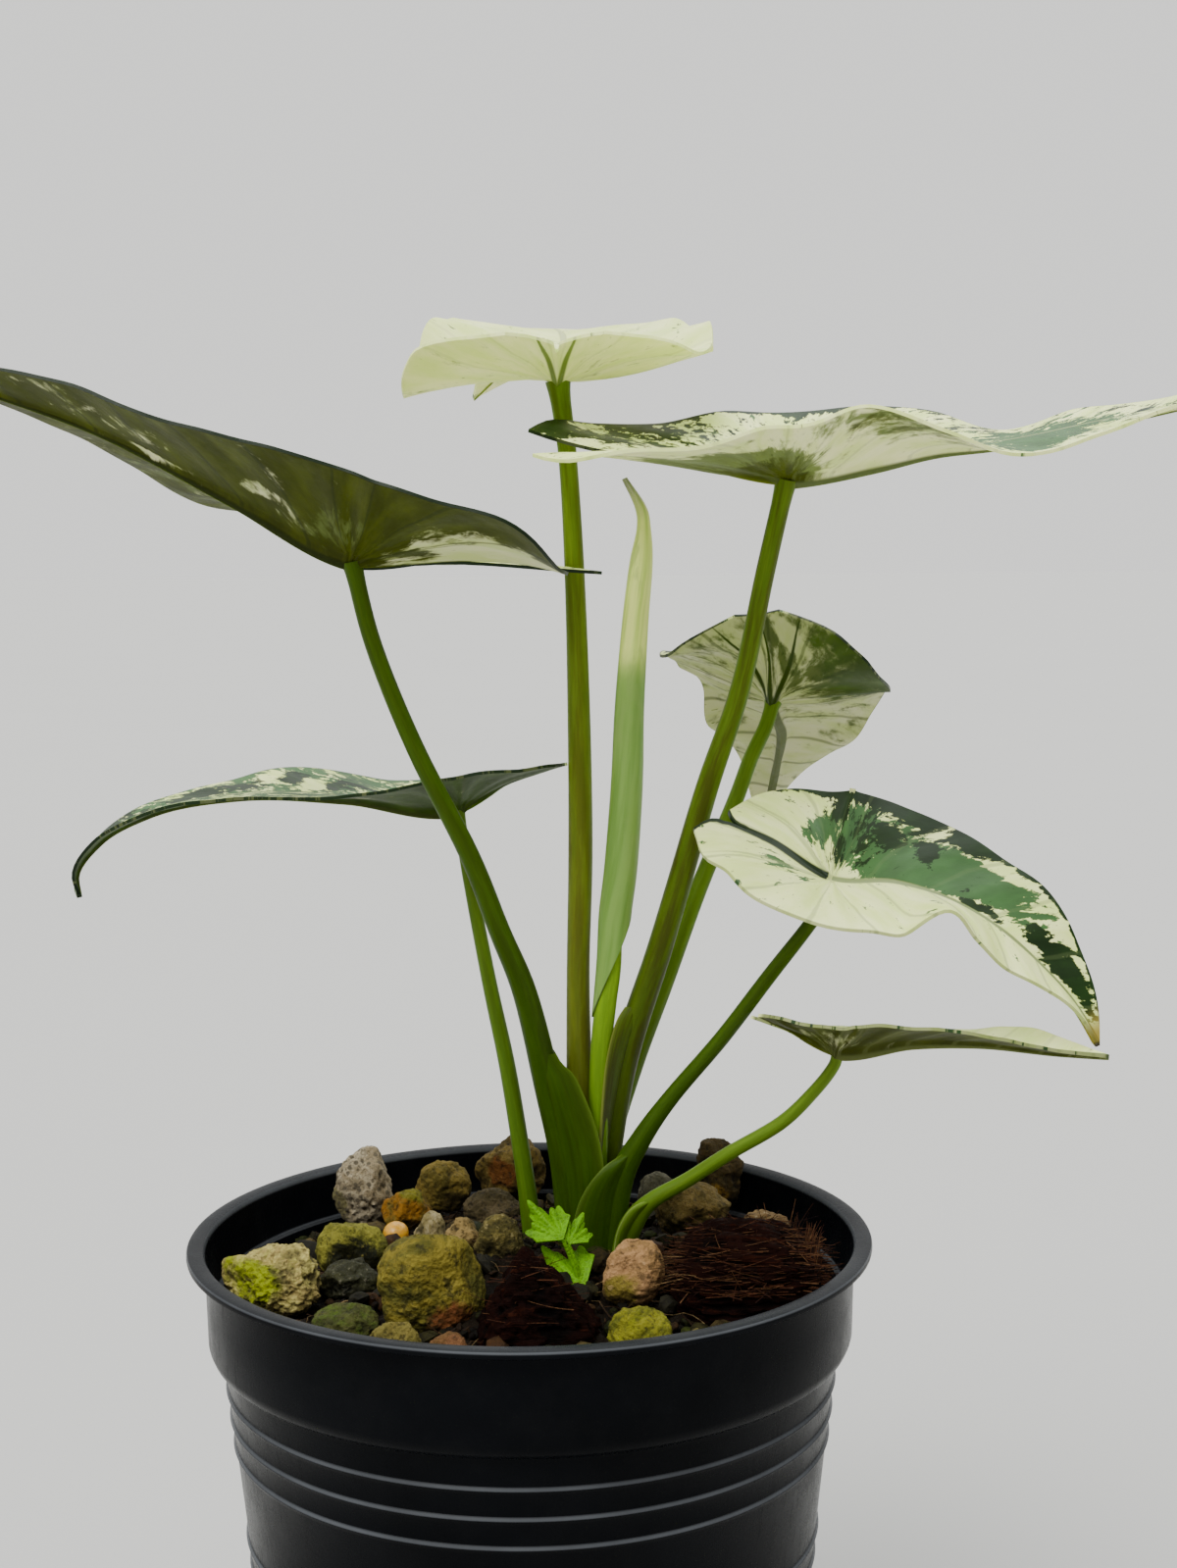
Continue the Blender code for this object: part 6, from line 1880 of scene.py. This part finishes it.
class StageSettings(bpy.types.PropertyGroup):
    floor: tint("Floor", "Colour of the floor", (0.445, 0.445, 0.435))
    key_power: bpy.props.FloatProperty(name="Key light", description="Strength of the main light",
                                       default=3.4, min=0.0)
    backdrop: bpy.props.FloatProperty(name="Backdrop", description="How bright the backdrop looks",
                                      default=1.13, min=0.0)


class ALOCASIA_OT_pot(bpy.types.Operator):
    """Nursery pot with its rim, skirt, ribs and drain holes"""

    bl_idname = "alocasia.pot"
    bl_label = "Pot"

    def execute(self, context):
        settings = context.scene.alocasia_pot
        pot = spun("pot_shell", pot_section(), settings.steps)
        cut_drains(pot)
        clear_generated(pot.data)
        smooth(pot, 32)
        finish_piece(pot, [plastic_finish(tuple(settings.plastic))], ["pot"])
        return {"FINISHED"}


class ALOCASIA_OT_mix(bpy.types.Operator):
    """Growing mix with its crumbs, grit and fibres"""

    bl_idname = "alocasia.mix"
    bl_label = "Growing mix"

    def execute(self, context):
        settings = context.scene.alocasia_ground
        heap = build_mix()
        finish_piece(heap, [mix_finish(tuple(settings.mix))], ["growing_mix"])
        crumbs = scattered("mix_crumbs", settings.crumbs, 11, (0.35, 1.0), CRUMB_TONES,
                           (0.4, 0.9), 0.3, -0.8)
        grit = scattered("mix_grit", settings.pebbles, 23, (1.1, 2.6), GRIT_TONES,
                         (0.5, 0.85), 0.35, 0.2)
        for piece, *look in ((crumbs, "Crumbs", 0.7, 0.95, 1800.0),
                             (grit, "Grit", 0.6, 0.85, 900.0),
                             (build_mix_fibres(), "Mix fibres", 0.6, 0.85, 1200.0)):
            finish_piece(piece, [scatter_finish(*look)], [])
        return {"FINISHED"}


class ALOCASIA_OT_stones(bpy.types.Operator):
    """The loose stones on top of the mix, one piece each"""

    bl_idname = "alocasia.stones"
    bl_label = "Stones"

    def execute(self, context):
        for name, stone in STONES.items():
            piece = build_stone(name, stone)
            finish_piece(piece, [stone_finish(name, stone)], [name])
        return {"FINISHED"}


class ALOCASIA_OT_husks(bpy.types.Operator):
    """Two blocks of coconut husk with their loose fibres"""

    bl_idname = "alocasia.husks"
    bl_label = "Husk blocks"

    def execute(self, context):
        settings = context.scene.alocasia_ground
        surface = husk_finish(tuple(settings.husk))
        fibre_surface = scatter_finish("Husk fibres", 0.7, 0.9, 1400.0)
        for name, block_values in HUSKS.items():
            block = build_husk(name, *block_values)
            finish_piece(block, [surface], [name])
            centre, half_sizes, _, peak, _ = block_values
            fibres = husk_fibres(f"{name}_fibres", centre, half_sizes, peak, *HUSK_FIBRES[name])
            finish_piece(fibres, [fibre_surface], [])
        return {"FINISHED"}


class ALOCASIA_OT_bead(bpy.types.Operator):
    """One round grain of slow-release fertiliser"""

    bl_idname = "alocasia.bead"
    bl_label = "Fertiliser grain"

    def execute(self, context):
        bead = new_primitive("bead_piece", bpy.ops.mesh.primitive_uv_sphere_add, segments=48,
                             ring_count=28, radius=1)
        ball = points_of(bead.data)
        bumps = 1 + 0.03 * fractal(ball * 2.2, 2.0, 3, 9.0)
        shape = ball * bumps[:, None] * BEAD_RADIUS * np.array((0.98, 0.98, 0.93))
        set_points(bead.data, (shape + np.array(BEAD_CENTRE)) * MM)
        smooth(bead, 60)
        settings = context.scene.alocasia_ground
        finish_piece(bead, [bead_finish(tuple(settings.bead))], ["fertiliser_bead"])
        return {"FINISHED"}


class ALOCASIA_OT_seedling(bpy.types.Operator):
    """A small lobed seedling that came up beside the stones"""

    bl_idname = "alocasia.seedling"
    bl_label = "Seedling"

    def execute(self, context):
        pieces = []
        foot = np.array(SEEDLING_FOOT, float)
        for junction, heading, size, wide in SEEDLING_LEAVES:
            end = np.array(junction, float)
            path = drawn((foot, 0.5 * foot + 0.5 * end + (0.6, 0, 0), end), 16)
            points = tube_points(path, np.linspace(0.45, 0.32, 16), 10)
            stalk, _, _ = lay_grid("stalk", points)
            close_tube(stalk)
            pieces.append(stalk)
            pieces.append(build_leaflet(junction, heading, size, wide))
        seedling = join(pieces, "seedling_piece")
        smooth(seedling, 50)
        settings = context.scene.alocasia_leaf
        finish_piece(seedling, [leaflet_finish(tuple(settings.seedling))], ["seedling"])
        return {"FINISHED"}


class ALOCASIA_OT_crown(bpy.types.Operator):
    """The corm and the sheath wings that wrap the petioles"""

    bl_idname = "alocasia.crown"
    bl_label = "Crown"

    def execute(self, context):
        pieces = [build_wing(number, *wing) for number, wing in enumerate(WINGS)]
        pieces.append(build_corm())
        crown = join(pieces, "crown_sheaths")
        smooth(crown, 50)
        finish_piece(crown, [stem_finish("Sheath skin", 0.38)], ["crown"])
        return {"FINISHED"}


class ALOCASIA_OT_petioles(bpy.types.Operator):
    """The eight petioles, from the crown or the mix up to their blades"""

    bl_idname = "alocasia.petioles"
    bl_label = "Petioles"

    def execute(self, context):
        surface = stem_finish("Petiole skin", 0.34)
        for key, stem in STEMS.items():
            piece = build_petiole(key, stem)
            finish_piece(piece, [surface], [f"petiole_{key}"])
        return {"FINISHED"}


class ALOCASIA_OT_blades(bpy.types.Operator):
    """The seven opened blades, each with its own variegation on both faces"""

    bl_idname = "alocasia.blades"
    bl_label = "Blades"

    def execute(self, context):
        settings = context.scene.alocasia_leaf
        for key, leaf in LEAVES.items():
            surfaces = [blade_finish(f"Blade {key} top", leaf, settings, False),
                        blade_finish(f"Blade {key} underside", leaf, settings, True)]
            blade = build_blade(key, leaf, settings.wall, surfaces)
            finish_piece(blade, surfaces, [f"blade_{key}"])
        return {"FINISHED"}


class ALOCASIA_OT_furled(bpy.types.Operator):
    """The new leaf, still rolled"""

    bl_idname = "alocasia.furled"
    bl_label = "Furled leaf"

    def execute(self, context):
        rolled = build_furled()
        finish_piece(rolled, [furled_finish()], ["blade_furled"])
        return {"FINISHED"}


class ALOCASIA_OT_stage(bpy.types.Operator):
    """Floor, lights and the camera"""

    bl_idname = "alocasia.stage"
    bl_label = "Stage"

    def execute(self, context):
        settings = context.scene.alocasia_stage
        pale_floor(tuple(settings.floor))
        studio_sky(context.scene, settings.backdrop)
        power = settings.key_power
        soft_sun("key_light", (-0.35, -0.45, 0.85), 45, power, (1.0, 0.99, 0.96))
        soft_sun("top_light", (0.25, 0.35, 1.0), 70, power * 0.6, (0.97, 0.99, 1.0))
        stand_camera(context.scene)
        return {"FINISHED"}


class ALOCASIA_PT_panel(bpy.types.Panel):
    """Lists the pieces in the order they are made"""

    bl_idname = "ALOCASIA_PT_panel"
    bl_label = "Potted alocasia"
    bl_space_type = "VIEW_3D"
    bl_region_type = "UI"
    bl_category = "Alocasia"

    def draw(self, context):
        for group in SETTINGS:
            settings = getattr(context.scene, group)
            box = self.layout.box()
            for name in settings.__annotations__:
                box.prop(settings, name)
        for operator in PIECES:
            self.layout.operator(operator.bl_idname)


SETTINGS = {
    "alocasia_pot": PotSettings,
    "alocasia_ground": GroundSettings,
    "alocasia_leaf": LeafSettings,
    "alocasia_stage": StageSettings,
}
PIECES = (
    ALOCASIA_OT_pot,
    ALOCASIA_OT_mix,
    ALOCASIA_OT_stones,
    ALOCASIA_OT_husks,
    ALOCASIA_OT_bead,
    ALOCASIA_OT_seedling,
    ALOCASIA_OT_petioles,
    ALOCASIA_OT_crown,
    ALOCASIA_OT_blades,
    ALOCASIA_OT_furled,
    ALOCASIA_OT_stage,
)


def register():
    for item in (*SETTINGS.values(), *PIECES, ALOCASIA_PT_panel):
        bpy.utils.register_class(item)
    for name, group in SETTINGS.items():
        setattr(bpy.types.Scene, name, bpy.props.PointerProperty(type=group))


def unregister():
    for name in SETTINGS:
        delattr(bpy.types.Scene, name)
    for item in reversed((*SETTINGS.values(), *PIECES, ALOCASIA_PT_panel)):
        bpy.utils.unregister_class(item)


def main():
    register()
    make_groups()
    for piece in ("pot", "mix", "stones", "husks", "bead", "seedling", "petioles", "crown",
                  "blades", "furled", "stage"):
        getattr(bpy.ops.alocasia, piece)()


if __name__ == "__main__":
    main()
